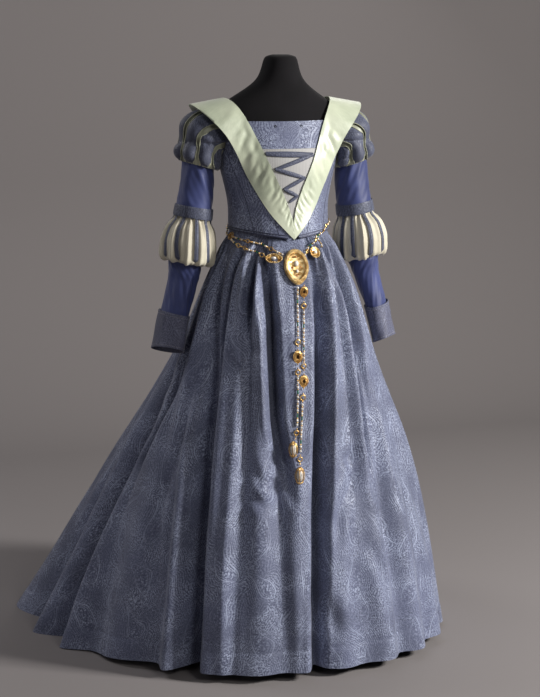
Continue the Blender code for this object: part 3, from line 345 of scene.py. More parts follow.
def damask(name, ground, figure_with_painted_sheen, contrast=1.0):
    """Figured silk: the figure is smoother and stands a hair above the ground weave; its paler colour is
    painted sheen.
    """
    finish = Finish(name)
    cloth = finish.place("UV")
    distance = paisley_distance(finish, cloth)
    drift = finish.noise(cloth, 42.0, 2.0)
    wave = ((distance / ECHO + drift * 1.9) * (2 * math.pi)).maths("COSINE") * 0.5 + 0.5
    flecks = finish.noise(cloth, 300.0, 2.0).step(0.40, 0.60)
    leaves = finish.noise(cloth, 190.0, 2.0, 0.6).step(0.46, 0.60)
    pits = finish.noise(cloth, 230.0, 1.0).step(0.56, 0.66) * finish.noise(cloth, 24.0, 2.0).step(0.42, 0.60)
    echo = wave.step(0.34, 0.84) * (flecks * 0.82 + 0.18)
    inside = (distance * -1.0).step(0.0090, 0.0130)
    spots = finish.node("TexVoronoi", {}, {"Vector": cloth, "Scale": 150.0})
    florets = 1.0 - Amount(finish.tree, spots.outputs["Distance"]).step(0.24, 0.50)
    outline = 1.0 - distance.size().step(0.0009, 0.0028)
    drawn = (echo * (1.0 - inside) + florets * inside).most(outline * 0.95)
    drawn = drawn * 0.70 + leaves * 0.40 * (1.0 - drawn * 0.5)
    # Cloudy patches where the figure shows paler: painted sheen.
    drawn = drawn * (finish.noise(cloth, 12.0, 3.0).step(0.36, 0.64) * 0.68 + 0.32)
    weave = finish.noise(finish.place("UV", (1500, 420, 1)), 1.0, 1.0)
    tone = finish.noise(finish.place("Object"), 4.0, 3.0)
    base = finish.blend(tone.step(0.32, 0.68), shaded(ground, 0.70), ground)
    # The figure's paler colour stands for the light that its weave catches: painted sheen.
    colour = finish.blend(drawn * (0.95 * contrast) + weave * 0.05, base, figure_with_painted_sheen)
    colour = finish.blend(pits * 0.62, colour, shaded(ground, 0.30))
    finish.relief(drawn, 0.00045, 0.6)
    finish.relief(weave, 0.00012, 0.5)
    return finish.look(Base_Color=colour, Roughness=0.64 - drawn * 0.34 + weave * 0.08,
                       Sheen_Weight=0.20, Sheen_Roughness=0.5, Specular_IOR_Level=0.45)


# The second colour of each damask is its figure with painted sheen.
SKIRT_DAMASK = damask("damask", (0.078, 0.089, 0.160), (0.410, 0.462, 0.620))
BAND_DAMASK = damask("damask trim", (0.044, 0.050, 0.086), (0.140, 0.160, 0.240), contrast=0.85)
print("damask repeat:", REPEAT_WIDE, "x", REPEAT_TALL, "m")


# %% [markdown]
# ## The plain cloths
# Satin, silk and the striped insert have no figure, only threads. A noise stretched along one direction of
# the cloth gives slubs and streaks. Satin is smoother, silk is deep navy, and the cream puffs are duller.
# All of them read the piece's own UV map, which is the cloth laid flat in metres.

# %% Plain cloths
def threads(name, colour, shade, roughness, slub=(900, 70, 1), depth=0.00015, sheen=0.3, gleam=0.5):
    finish = Finish(name)
    streak = finish.noise(finish.place("UV", slub), 1.0, 3.0)
    cross = finish.noise(finish.place("UV", (slub[1] * 2, slub[0], 1)), 1.0, 1.0)
    cloud = finish.noise(finish.place("Object"), 9.0, 3.0)
    base = finish.blend(cloud.step(0.35, 0.70), shade, colour)
    colour = finish.blend(streak.step(0.35, 0.75) * 0.20, base, shaded(colour, 1.25))
    finish.relief(streak + cross * 0.5, depth, 0.5)
    finish.relief(cloud, 0.0012, 0.35)
    return finish.look(Base_Color=colour, Roughness=roughness + (streak - 0.5) * 0.12 + (cloud - 0.5) * 0.10,
                       Sheen_Weight=sheen, Sheen_Roughness=0.45, Specular_IOR_Level=gleam)


def striped(name, pale, line):
    """Fine woven stripes that run down the cloth."""
    finish = Finish(name)
    split = finish.node("SeparateXYZ", {}, {0: finish.place("UV")})
    u = Amount(finish.tree, split.outputs[0])
    uneven = finish.noise(finish.place("UV", (120, 8, 1)), 1.0, 2.0)
    stripe = ((u * (2 * math.pi / 0.0042) + uneven * 2.0).maths("SINE") * 0.5 + 0.5).step(0.35, 0.85)
    colour = finish.blend(stripe * 0.55 + uneven * 0.2, pale, line)
    finish.relief(stripe, 0.0002, 0.5)
    return finish.look(Base_Color=colour, Roughness=0.72, Sheen_Weight=0.2)


COLLAR_SATIN = threads("celadon satin", (0.560, 0.600, 0.455), (0.420, 0.465, 0.345), 0.42,
                       slub=(500, 90, 1), depth=0.0001, sheen=0.2, gleam=0.6)
PIPING_SATIN = threads("piping satin", (0.430, 0.440, 0.320), (0.270, 0.280, 0.200), 0.46)
NAVY_SILK = threads("navy silk", (0.044, 0.060, 0.185), (0.025, 0.034, 0.112), 0.54,
                    slub=(700, 60, 1), depth=0.00012, sheen=0.30, gleam=0.4)
CREAM_SILK = threads("cream silk", (0.610, 0.570, 0.450), (0.440, 0.400, 0.300), 0.58)
STRIPED_LINEN = striped("striped insert", (0.440, 0.435, 0.420), (0.285, 0.280, 0.290))
# The cuff's second colour is its figure with painted sheen.
CUFF_DAMASK = damask("damask cuff", (0.070, 0.074, 0.122), (0.205, 0.220, 0.325), contrast=0.8)
PALE_EDGE = threads("pale edging", (0.120, 0.125, 0.165), (0.075, 0.080, 0.115), 0.60)
CUFF_THREAD = threads("cuff thread", (0.300, 0.290, 0.300), (0.220, 0.210, 0.230), 0.60)
EDGE_CORD = threads("dark edge cord", (0.040, 0.046, 0.095), (0.022, 0.026, 0.055), 0.55)
BASTING = threads("sewing thread", (0.120, 0.140, 0.230), (0.080, 0.095, 0.160), 0.60)


# %% [markdown]
# ## The form, the gilding and the beads
# The stand is covered in black knit over a steel pole and foot. The girdle is cast gilt metal with mock
# pearls and green glass. Wear and casting are uneven, so each finish varies a little over its surface.

# %% Hard finishes and the knit
def jersey(name):
    finish = Finish(name)
    ribs = finish.noise(finish.place("Object", (900, 900, 380)), 1.0, 1.0)
    cloud = finish.noise(finish.place("Object"), 12.0, 3.0)
    colour = finish.blend(cloud.step(0.3, 0.7), (0.0022, 0.0019, 0.0026), (0.0046, 0.0038, 0.0052))
    finish.relief(ribs, 0.0002, 0.4)
    return finish.look(Base_Color=colour, Roughness=0.86 + ribs * 0.1, Sheen_Weight=0.03, Sheen_Roughness=0.6,
                       Specular_IOR_Level=0.22)


def metal(name, bright, dull, roughness, cast=420.0):
    finish = Finish(name)
    where = finish.place("Object")
    grain = finish.noise(where, cast, 3.0)
    wear = finish.noise(where, 90.0, 2.0)
    colour = finish.blend(wear.step(0.34, 0.66), dull, bright)
    finish.relief(grain, 0.00025, 0.5)
    return finish.look(Base_Color=colour, Metallic=1.0, Roughness=roughness + (grain - 0.5) * 0.22)


def glossy(name, bright, dull, roughness):
    finish = Finish(name)
    cloud = finish.noise(finish.place("Object"), 160.0, 2.0)
    colour = finish.blend(cloud.step(0.35, 0.65), dull, bright)
    return finish.look(Base_Color=colour, Roughness=roughness + (cloud - 0.5) * 0.08, Coat_Weight=0.7,
                       Coat_Roughness=0.08)


BLACK_JERSEY = jersey("black knit")
STAND_STEEL = metal("stand steel", (0.055, 0.055, 0.060), (0.035, 0.035, 0.038), 0.42, cast=200.0)
GILT = metal("gilt", (0.860, 0.600, 0.260), (0.560, 0.330, 0.110), 0.34)
# Darker gilt for the plaque on the hip: painted shade.
SHADE_PAINTED_GILT = metal("gilt in the hollows", (0.480, 0.250, 0.070), (0.230, 0.105, 0.030), 0.38)
GRAINED_GILT = metal("granulated gilt", (0.880, 0.700, 0.380), (0.600, 0.400, 0.160), 0.46, cast=620.0)
# Near-black metal for the middle of the filigree discs: painted shade where they are pierced.
PIERCING_SHADE = metal("pierced hollow", (0.060, 0.032, 0.014), (0.025, 0.014, 0.008), 0.6)
AMBER = glossy("amber enamel", (0.560, 0.170, 0.025), (0.330, 0.080, 0.012), 0.18)
PEARL = glossy("mock pearl", (0.800, 0.770, 0.720), (0.640, 0.610, 0.560), 0.22)
GREEN_GLASS = glossy("green glass", (0.020, 0.180, 0.070), (0.008, 0.090, 0.035), 0.14)
HOOK_BLACK = metal("blackened hook", (0.030, 0.030, 0.034), (0.015, 0.015, 0.018), 0.5)
print("finishes:", len(bpy.data.materials))


# %% [markdown]
# ## Tools for cloth
# Every cloth piece is a grid of points, rows down the cloth and columns across it. A grid can be interpolated
# smoothly between a few measured stations, softened, pushed out along its normals, and closed into a thin
# shell with its own UV map in metres. That is all the geometry a dress needs.

# %% Smooth interpolation
def ease(t):
    t = np.clip(t, 0.0, 1.0)
    return t * t * (3 - 2 * t)


def through(stations, values, at):
    """Values at any place between stations, along a cubic that keeps the table's shape."""
    x = np.asarray(stations, float)
    y = np.asarray(values, float)
    y = y.reshape(len(x), -1)
    at = np.clip(np.asarray(at, float), x[0], x[-1])
    step = np.diff(x)
    slope = np.diff(y, axis=0) / step[:, None]
    tangent = np.zeros_like(y)
    tangent[0], tangent[-1] = slope[0], slope[-1]
    before, after = slope[:-1], slope[1:]
    same = before * after > 0
    tangent[1:-1] = np.where(same, 2 * before * after / np.where(same, before + after, 1.0), 0.0)
    i = np.clip(np.searchsorted(x, at, side="right") - 1, 0, len(x) - 2)
    t, h = ((at - x[i]) / step[i])[:, None], step[i][:, None]
    return ((2 * t**3 - 3 * t**2 + 1) * y[i] + (t**3 - 2 * t**2 + t) * h * tangent[i]
            + (3 * t**2 - 2 * t**3) * y[i + 1] + (t**3 - t**2) * h * tangent[i + 1])


def soften(values, sigma, axis, wrap=False):
    """A Gaussian blur of an array along one axis."""
    reach = max(1, int(3 * sigma))
    weights = np.exp(-0.5 * (np.arange(-reach, reach + 1) / sigma) ** 2)
    weights /= weights.sum()
    pad = [(0, 0)] * values.ndim
    pad[axis] = (reach, reach)
    wide = np.pad(values, pad, mode="wrap" if wrap else "edge")
    size = values.shape[axis]
    return sum(w * np.take(wide, range(k, k + size), axis=axis) for k, w in enumerate(weights))


def ripple(seed, places, waves, count=7):
    """A smooth uneven curve of places, from a few sines of seeded phase; about -1 to 1."""
    chance = np.random.default_rng(seed)
    total = np.zeros_like(places, dtype=float)
    for _ in range(count):
        total = total + np.sin(places * waves * chance.uniform(0.5, 1.6) + chance.uniform(0, 2 * math.pi))
    return total / math.sqrt(count)


def troughs(across, height, paths, per_unit=1.0, wrap=None):
    """How far a list of creases sinks the cloth: soft troughs with lips, fading at both ends."""
    total = np.zeros_like(across)
    for depth, width, path in paths:
        nearest, along = np.full(across.shape, 1e9), np.zeros(across.shape)
        for k, ((a0, h0), (a1, h1)) in enumerate(zip(path, path[1:])):
            gap = across - a0
            if wrap:
                gap = (gap + wrap / 2) % wrap - wrap / 2
            x, y = gap * per_unit, height - h0
            run, drop = (a1 - a0) * per_unit, h1 - h0
            t = np.clip((x * run + y * drop) / (run**2 + drop**2), 0, 1)
            off = np.hypot(x - t * run, y - t * drop)
            along = np.where(off < nearest, (k + t) / (len(path) - 1), along)
            nearest = np.minimum(nearest, off)
        fade = np.sin(np.clip(along, 0.02, 0.98) * math.pi) ** 0.7
        total += depth * fade * (np.exp(-(nearest / width) ** 2)
                                 - 0.30 * np.exp(-((nearest - 1.9 * width) / width) ** 2))
    return total


# %% [markdown]
# A grid becomes a wall by going one cloth's thickness inwards along its normals. Its edges are closed, and
# each corner keeps its place on the flat cloth, so that a woven figure runs on across a piece.

# %% Grids to walls
CLOTH, SKIRT_CLOTH, CUFF_CLOTH, LACE_CLOTH = 0.0015, 0.0018, 0.0019, 0.0014
SHARP = math.radians(60)


def spans(grid, axis, closed=False):
    """Differences along a grid, centred where there are neighbours on both sides."""
    if closed:
        return np.roll(grid, -1, axis=axis) - np.roll(grid, 1, axis=axis)
    return np.gradient(grid, axis=axis)


def facing_out(grid, closed, core=None):
    """Unit normals that point away from the core, by default the upright axis of the body."""
    normals = np.cross(spans(grid, 1, closed), spans(grid, 0))
    normals /= np.maximum(np.linalg.norm(normals, axis=2, keepdims=True), 1e-12)
    if core is None:
        core = grid * (0, 0, 1)
    return normals if ((grid - core) * normals).sum() > 0 else -normals


def flat_lengths(grid, closed):
    """The cloth laid flat: metres across each row from its middle, and metres down the rows."""
    ring = np.concatenate([grid, grid[:, :1]], axis=1) if closed else grid
    across = np.linalg.norm(np.diff(ring, axis=1), axis=2)
    u = np.concatenate([np.zeros((len(grid), 1)), np.cumsum(across, axis=1)], axis=1)
    u -= u[:, [u.shape[1] // 2]]
    down = np.linalg.norm(np.diff(grid, axis=0), axis=2).mean(axis=1)
    v = -np.concatenate([[0.0], np.cumsum(down)])
    return np.stack([u, np.repeat(v[:, None], u.shape[1], axis=1)], axis=2)


def wall(outer, inner=None, thickness=CLOTH, closed=False, uv=None, core=None):
    """A thin closed wall inside a grid: its points, its faces and each corner's place on the flat cloth."""
    outer = np.asarray(outer, float)
    if inner is None:
        inner = outer - facing_out(outer, closed, core) * thickness
    if uv is None:
        uv = flat_lengths(outer, closed)
    rows, columns = outer.shape[:2]
    last = columns if closed else columns - 1
    panels = []

    def add(*corners):
        """Faces between corners, each a row, a column and a side of the wall."""
        sizes = np.broadcast_shapes(*[np.shape(value) for corner in corners for value in corner])
        panels.append(np.stack([np.stack([np.broadcast_to(value, sizes) for value in corner], -1)
                                for corner in corners], 1))

    r, c = (index.ravel() for index in np.meshgrid(np.arange(rows - 1), np.arange(last), indexing="ij"))
    add((r, c, 0), (r, c + 1, 0), (r + 1, c + 1, 0), (r + 1, c, 0))
    add((r, c, 1), (r + 1, c, 1), (r + 1, c + 1, 1), (r, c + 1, 1))
    e, foot = np.arange(last), rows - 1
    add((0, e, 0), (0, e, 1), (0, e + 1, 1), (0, e + 1, 0))
    add((foot, e, 0), (foot, e + 1, 0), (foot, e + 1, 1), (foot, e, 1))
    if not closed:
        e = np.arange(rows - 1)
        add((e, 0, 0), (e + 1, 0, 0), (e + 1, 0, 1), (e, 0, 1))
        add((e, last, 0), (e, last, 1), (e + 1, last, 1), (e + 1, last, 0))
    corners = np.concatenate(panels)
    faces = corners[..., 2] * rows * columns + corners[..., 0] * columns + corners[..., 1] % columns
    points = np.concatenate([outer.reshape(-1, 3), inner.reshape(-1, 3)])
    a, b, c, d = (points[faces[:, k]] for k in range(4))
    if (a * np.cross(b, c)).sum() + (a * np.cross(c, d)).sum() < 0:
        faces, corners = faces[:, ::-1], corners[:, ::-1]
    return points, faces, uv[corners[..., 0], corners[..., 1]]


def cloth_piece(name, walls, finish, replaces):
    """One piece of the dress, made of one wall or of several side by side."""
    starts = np.cumsum([0] + [len(points) for points, _, _ in walls])
    points = np.concatenate([points for points, _, _ in walls])
    faces = np.concatenate([faces + start for (_, faces, _), start in zip(walls, starts)])
    flat = np.concatenate([uv.reshape(-1, 2) for _, _, uv in walls])
    mesh = bpy.data.meshes.new(name)
    mesh.from_pydata(points.tolist(), [], faces.tolist())
    mesh.uv_layers.new(name="cloth").data.foreach_set("uv", flat.astype(np.float32).ravel())
    return finished(name, mesh, finish, replaces)


def finished(name, mesh, finish, replaces):
    """Links a mesh as a piece of the dress with its finish and the nodes that it stands for."""
    mesh.materials.clear()
    mesh.materials.append(finish)
    mesh.shade_smooth()
    mesh.set_sharp_from_angle(angle=SHARP)
    piece = placed(name, mesh)
    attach(piece, "root")
    if replaces:
        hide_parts(*replaces)
    return piece


# %% [markdown]
# Some panels are right as they are and only need rounding. A copy of the node is welded, its triangles are
# paired into quads, its rims are creased so that they stay crisp, and a subdivision surface does the rest.

# %% Rounded copies
BODY_RADIUS = 0.135


def vertices_of(piece):
    points = np.zeros(len(piece.data.vertices) * 3)
    piece.data.vertices.foreach_get("co", points)
    return points.reshape(-1, 3)


def rounded_copy(node, name, finish, levels=2):
    """A smooth copy of a node. Its flat cloth is unrolled from a cylinder about the body."""
    form = bmesh.new()
    form.from_mesh(NODES[node].data)
    bmesh.ops.remove_doubles(form, verts=form.verts, dist=1e-6)
    bmesh.ops.join_triangles(form, faces=form.faces, angle_face_threshold=math.radians(25),
                             angle_shape_threshold=math.radians(60))
    crease = form.edges.layers.float.new("crease_edge")
    for edge in form.edges:
        if len(edge.link_faces) == 2 and edge.calc_face_angle() > math.radians(50):
            edge[crease] = 1.0
    mesh = bpy.data.meshes.new(name)
    form.to_mesh(mesh)
    form.free()
    piece = finished(name, mesh, finish, (node,))
    divide = piece.modifiers.new("round", "SUBSURF")
    divide.levels = divide.render_levels = levels
    divide.boundary_smooth = "PRESERVE_CORNERS"
    shaped = bpy.data.meshes.new_from_object(piece.evaluated_get(bpy.context.evaluated_depsgraph_get()))
    piece.modifiers.clear()
    piece.data = shaped
    flat = shaped.uv_layers.get("cloth") or shaped.uv_layers.new(name="cloth")
    x, y, z = vertices_of(piece).T
    where = np.stack([np.arctan2(x, -y) * BODY_RADIUS, z], 1)
    corner = np.zeros(len(shaped.loops), np.int32)
    shaped.loops.foreach_get("vertex_index", corner)
    flat.data.foreach_set("uv", where[corner].astype(np.float32).ravel())
    return piece


def surface_of(*pieces):
    """A tree of several pieces' faces, for laying other things on them."""
    points, faces = [], []
    for piece in pieces:
        start = len(points)
        points += [v.co.copy() for v in piece.data.vertices]
        faces += [tuple(start + i for i in f.vertices) for f in piece.data.polygons]
    return BVHTree.FromPolygons(points, faces)


# %% [markdown]
# ## Bodice
# Six boned damask panels, hooked at the centre back, and a striped insert under the lacing. They follow the
# body closely, so the rounded copies of the solids are already the right shape.

# %% Bodice panels
bodice = [rounded_copy(f"bodice_{part}_{side}", f"bodice_{part}_{side}_cloth", SKIRT_DAMASK)
          for part in ("front", "side", "back") for side in SIDES]
rounded_copy("stomacher", "stomacher_cloth", STRIPED_LINEN)
neckline = rounded_copy("neckline_panel", "neckline_cloth", SKIRT_DAMASK)
print("bodice pieces:", len(bodice) + 2)

# %% [markdown]
# ## The stand
# The knit cover is rounded in the same way. The pole and foot are turned steel, so their solids are already
# right and only take the paint.

# %% Stand
rounded_copy("form_torso", "stand_cover", BLACK_JERSEY)
for node in ("form_pole", "form_foot"):
    NODES[node].data.materials.clear()
    NODES[node].data.materials.append(STAND_STEEL)

# %% [markdown]
# ## Skirt
# Nine gores are gathered into the waistband and fall in nineteen folds. The skirt's form is a reach: how far
# the cloth stands from an upright axis in each direction. The reach is read off the solids at their own
# rows, joined by smooth curves, and then creased.

# %% Reading the reach of the skirt
SKIRT_AXIS = np.array([0.0, -0.012, 0.0])
WAIST_Z, HEM_LIFT = 1.150, 0.024
READ_ROWS = np.array([0.0, 0.255, 0.520, 0.770, 0.960, 1.068, 1.116, 1.150])
FOLD_LINES = np.array([(-176, -177), (-163, -151), (-148, -137), (-127, -121), (-114, -106), (-74, -93),
                       (-59, -74), (-43, -57), (-26, -40), (-9, -23), (11, -2), (33, 22), (55, 46), (77, 70),
                       (99, 94), (121, 116), (142, 136), (160, 156), (174, 171)], float)
GORES = {"skirt_front": (4, 6), "skirt_front_left": (6, 8), "skirt_side_left": (8, 10),
         "skirt_back_side_left": (10, 12), "skirt_back_left": (12, 14), "skirt_back_right": (14, 16),
         "skirt_back_side_right": (16, 18), "skirt_side_right": (18, 21), "skirt_front_right": (21, 23)}
PER_FOLD = 34
FOLD_COUNT = len(FOLD_LINES)
GORE_GAP = 0.0004
COLUMNS = FOLD_COUNT * PER_FOLD


def column_degrees(places, heights):
    """Direction of a column, counted in folds, at each height: folds fan out as they fall."""
    k = np.floor(places).astype(int)
    u = places - k
    ends = []
    for step in (0, 1):
        line = FOLD_LINES[(k + step) % FOLD_COUNT] + 360.0 * ((k + step) // FOLD_COUNT)[:, None]
        fan = ease((WAIST_Z - heights) / WAIST_Z * 1.15)[:, None]
        ends.append(line[None, :, 0] + (line[None, :, 1] - line[None, :, 0]) * fan)
    return ends[0] + (ends[1] - ends[0]) * u[None, :]


def hem_rise(degrees, heights):
    """The front hem hangs clear of the floor and the train lies on it."""
    off_front = np.abs((degrees + 270) % 360 - 180)
    return HEM_LIFT * (1 - ease((off_front - 55) / 45)) * ease((0.5 - heights) / 0.5)[:, None]


def read_reach(tree, places):
    degrees = column_degrees(places, READ_ROWS)
    inward = np.zeros(len(READ_ROWS))
    inward[0], inward[-1] = 0.0006, -0.0006
    heights = READ_ROWS[:, None] + hem_rise(degrees, READ_ROWS) + inward[:, None]
    reach = np.full(degrees.shape, np.nan)
    for r, c in np.ndindex(degrees.shape):
        angle = math.radians(degrees[r, c])
        out = Vector((math.cos(angle), math.sin(angle), 0))
        start = Vector(SKIRT_AXIS) + out * 1.6
        start.z = heights[r, c]
        hit = tree.ray_cast(start, -out)[0]
        if hit and (hit - Vector(SKIRT_AXIS)).dot(out) > 0.05:
            reach[r, c] = (Vector((hit.x, hit.y, 0)) - Vector(SKIRT_AXIS)).dot(out)
    for row in reach:
        gone = np.isnan(row)
        row[gone] = np.interp(places[gone], places[~gone], row[~gone], period=FOLD_COUNT)
    return reach


places = np.arange(COLUMNS) / PER_FOLD
cad_skirt = surface_of(*[NODES[node] for node in GORES])
read = read_reach(cad_skirt, places)
print("skirt read at", read.size, "points, reach", round(read.min(), 3), "to", round(read.max(), 3))

# %% [markdown]
# The creases are laid one by one, as a dresser would: each is a short path of direction and height with a
# depth and a width. A negative depth is a ridge. Two soft lips beside a trough keep the cloth from looking
# cut.

# %% Creases of the skirt
CREASES = [
    (0.060, 0.040, [(176, 0.700), (173, 0.400), (171, 0.150), (170, -0.100), (169, -0.400)]),
    (0.026, 0.070, [(160, 0.600), (158, 0.300), (157, 0.050), (156, -0.300)]),
    (0.060, 0.022, [(-165, 1.060), (-156, 0.865), (-149, 0.692), (-143, 0.445), (-140, 0.196),
                    (-138, -0.100), (-137, -0.400)]),
    (0.036, 0.0105, [(-129, 1.110), (-130.5, 1.044), (-129.5, 1.000), (-129, 0.899), (-129, 0.850)]),
    (0.016, 0.009, [(-137, 1.100), (-146, 1.050), (-148, 1.024), (-150, 0.950)]),
    (0.013, 0.008, [(-123, 1.100), (-121.5, 1.044), (-121, 0.990)]),
    (0.038, 0.013, [(-122, 1.100), (-119.5, 1.044), (-116.5, 0.988), (-113, 0.900), (-110.5, 0.747),
                    (-109, 0.648), (-104, 0.526), (-101, 0.450)]),
    (0.044, 0.014, [(-74, 1.120), (-72, 1.000), (-75, 0.869), (-78, 0.793), (-81.5, 0.691), (-85.5, 0.565),
                    (-89.5, 0.392), (-92, 0.193), (-93.5, 0.000), (-95, -0.200)]),
    (-0.007, 0.011, [(-77, 1.060), (-77.5, 0.900), (-81, 0.760), (-85, 0.640), (-89, 0.500), (-93, 0.300),
                     (-96, 0.060), (-97, -0.100)]),
    (0.060, 0.015, [(-53, 1.120), (-50, 1.035), (-48.5, 0.960), (-49.5, 0.900), (-52, 0.820), (-55, 0.700),
                    (-57.5, 0.593), (-60, 0.440)]),
    (0.011, 0.012, [(-150, 1.060), (-149, 0.944), (-147.5, 0.842), (-147, 0.760)]),
    (-0.010, 0.015, [(-167, 0.900), (-166.5, 0.769), (-163, 0.682), (-156, 0.484), (-151, 0.236),
                     (-149, 0.050)]),
    (-0.009, 0.014, [(-130, 0.800), (-128, 0.600), (-127, 0.350), (-126, 0.100), (-125, -0.100)]),
    (0.014, 0.013, [(-172, 0.860), (-173, 0.700), (-175, 0.560), (-179, 0.480)]),
    (0.008, 0.016, [(-66, 0.530), (-72, 0.475), (-78, 0.437), (-81.5, 0.384), (-83, 0.320)]),
    (0.012, 0.022, [(-90, 0.200), (-87.5, 0.140), (-85.5, 0.080)]),
    (0.009, 0.013, [(-121, 0.470), (-116, 0.450), (-111.5, 0.435)]),
    (0.007, 0.014, [(-121, 0.550), (-117, 0.512), (-114, 0.490)]),
    (0.008, 0.014, [(-131, 0.856), (-126, 0.822), (-118, 0.836)]),
    (0.010, 0.013, [(-63, 0.610), (-66, 0.560), (-71, 0.540), (-74, 0.555)]),
    (-0.006, 0.018, [(-100, 0.960), (-99, 0.800), (-98, 0.600)]),
    (-0.005, 0.022, [(-104, 0.420), (-103, 0.250), (-101, 0.080)]),
    (0.009, 0.018, [(-68, 0.330), (-64, 0.220), (-63, 0.080)]),
    (0.012, 0.016, [(-36, 0.960), (-36, 0.780), (-40, 0.600), (-44, 0.400)]),
    (0.009, 0.017, [(-33, 0.620), (-30, 0.420), (-31, 0.220)]),
    (0.011, 0.014, [(-22, 1.060), (-21, 0.900), (-25, 0.700)]),
    (0.009, 0.015, [(-158, 0.700), (-157, 0.520), (-160, 0.350)]),
    (0.007, 0.018, [(172, 0.420), (166, 0.300), (165, 0.180)]),
    (0.009, 0.020, [(150, 0.560), (147, 0.380), (149, 0.200)]),
    (0.008, 0.022, [(108, 0.600), (104, 0.380), (106, 0.160)]),
    (0.008, 0.022, [(64, 0.600), (60, 0.400), (61, 0.180)]),
    (0.007, 0.020, [(16, 0.640), (12, 0.440), (13, 0.200)]),
    (0.006, 0.020, [(88, 0.800), (84, 0.620), (83, 0.480)]),
]


# %% [markdown]
# The rows stand closest at the hem and at the gathers. On them the reach is softened, made a little uneven,
# gathered under the waistband, creased, and drawn in along the stitches of the hem. The gores are cut from
# that one surface, a hair apart.

# %% The skirt's fine surface
ROWS = np.concatenate([np.linspace(0.0, 0.072, 17), np.linspace(0.081, 0.985, 92),
                       np.linspace(0.992, 1.150, 24)])
HEM_STITCHES_Z = 0.057


def skirt_surface():
    degrees = column_degrees(places, ROWS)
    rise = hem_rise(degrees, ROWS)
    reach = through(READ_ROWS, read, ROWS)
    reach = soften(reach, 1.6, 1, wrap=True)
    heights = np.repeat(ROWS[:, None], COLUMNS, axis=1)
    low = ease((1.02 - heights) / 0.35)
    turn = np.radians(degrees)
    uneven = ripple(3, turn, 9.0) * ripple(4, heights, 7.0) * 0.5
    uneven += ripple(5, turn * 6 + heights * 5, 2.0) * 0.5
    reach += uneven * 0.0030 * low
    gathers = ripple(11, turn, 115.0, 3) * (1 - np.exp(-((degrees + 94) / 16) ** 2))
    reach += gathers * 0.0013 * ease((1.128 - heights) / 0.03) * ease((heights - 0.97) / 0.10)
    reach -= troughs(degrees, heights, CREASES, np.radians(reach), 360.0)
    pucker = 0.0011 + 0.0005 * ripple(8, turn, 260.0, 3)
    reach -= np.exp(-((heights - HEM_STITCHES_Z) / 0.0035) ** 2) * pucker
    reach += 0.0009 * ease((0.054 - heights) / 0.01)
    floor = np.hypot(0.134 * np.cos(turn), 0.120 * np.sin(turn)) * (heights > 1.0)
    reach = np.maximum(reach, np.minimum(floor, through(READ_ROWS, read, ROWS)))
    x = SKIRT_AXIS[0] + reach * np.cos(turn)
    y = SKIRT_AXIS[1] + reach * np.sin(turn)
    return np.stack([x, y, heights + rise], axis=2)[::-1]


skirt_grid = skirt_surface()
skirt_inner = skirt_grid - facing_out(skirt_grid, True) * SKIRT_CLOTH
skirt_inner[:, :, 2] = np.maximum(skirt_inner[:, :, 2], 0.0)
skirt_inner[-1, :, 2] = skirt_grid[-1, :, 2]
skirt_uv = flat_lengths(skirt_grid, True)
skirt = []
for node, (first, last) in GORES.items():
    columns = np.arange(first * PER_FOLD, last * PER_FOLD + 1)
    faces = [skirt_grid[:, columns % COLUMNS], skirt_inner[:, columns % COLUMNS]]
    total = skirt_uv[:, -1:, 0] - skirt_uv[:, :1, 0]
    uv = skirt_uv[:, columns % COLUMNS].copy()
    uv[:, :, 0] += total * (columns // COLUMNS)
    uv[:, :, 0] += len(skirt) * 0.61 - uv[:, [len(columns) // 2], 0]
    for face in faces:
        for end, beside in ((0, 1), (-1, -2)):
            step = face[:, beside] - face[:, end]
            face[:, end] += step / np.linalg.norm(step, axis=1, keepdims=True) * GORE_GAP / 2
    skirt.append(cloth_piece(f"{node}_cloth", [wall(*faces, uv=uv)], SKIRT_DAMASK, (node,)))
waistband = rounded_copy("skirt_waistband", "skirt_waistband_cloth", SKIRT_DAMASK,
                         levels=1)
print("skirt:", len(skirt), "gores of", len(ROWS), "rows")

# %% [markdown]
# ## Sleeves
# Each sleeve has six stages: a paned puff over a satin lining, a silk upper sleeve, a damask band, a cream
# puff under ten narrow strips, a silk lower sleeve and a damask cuff. A stage is a stack of tilted rings
# around the arm. The rings are lofted smoothly, the folds are pushed out of them, and the right sleeve is
# the mirror of the left with folds of its own. A row of the shoulder puff gives x and z of its inner and
# outer side, then y and half its depth. The other rows give x, y, z, tilt, twist and the two half widths.

# %% Rings of the arm
SHOULDER_PUFF = [
    (0.1625, 1.2925, 0.2050, 1.4340, 0.002, 0.0690),
    (0.1630, 1.2885, 0.2380, 1.4180, 0.002, 0.0725),
    (0.1620, 1.2850, 0.2570, 1.3920, 0.002, 0.0680),
    (0.1610, 1.2810, 0.2610, 1.3570, 0.003, 0.0650),
    (0.1600, 1.2760, 0.2680, 1.3260, 0.004, 0.0675),
    (0.1625, 1.2715, 0.2630, 1.3000, 0.005, 0.0590),
]
UPPER_SLEEVE = [
    (0.2130, 0.005, 1.3100, -76, 0, 0.0421, 0.0476),
    (0.2165, 0.005, 1.2450, -80, 0, 0.0451, 0.0496),
    (0.2250, 0.005, 1.1745, -80, -8, 0.0478, 0.0518),
]
ELBOW_BAND = [
    (0.2245, 0.005, 1.1790, -80, -8, 0.0500, 0.0540),
    (0.2290, 0.005, 1.1495, -80, -10, 0.0515, 0.0555),
]
ELBOW_PUFF = [
    (0.2270, 0.005, 1.1590, -80, -10, 0.0425, 0.0465),
    (0.2300, 0.005, 1.1440, -80, -12, 0.0450, 0.0490),
    (0.2370, 0.005, 1.1150, -80, -13, 0.0600, 0.0650),
    (0.2430, 0.005, 1.0760, -80, -15, 0.0665, 0.0735),
    (0.2465, 0.004, 1.0480, -80, -18, 0.0655, 0.0725),
    (0.2500, 0.003, 1.0320, -80, -20, 0.0450, 0.0530),
]
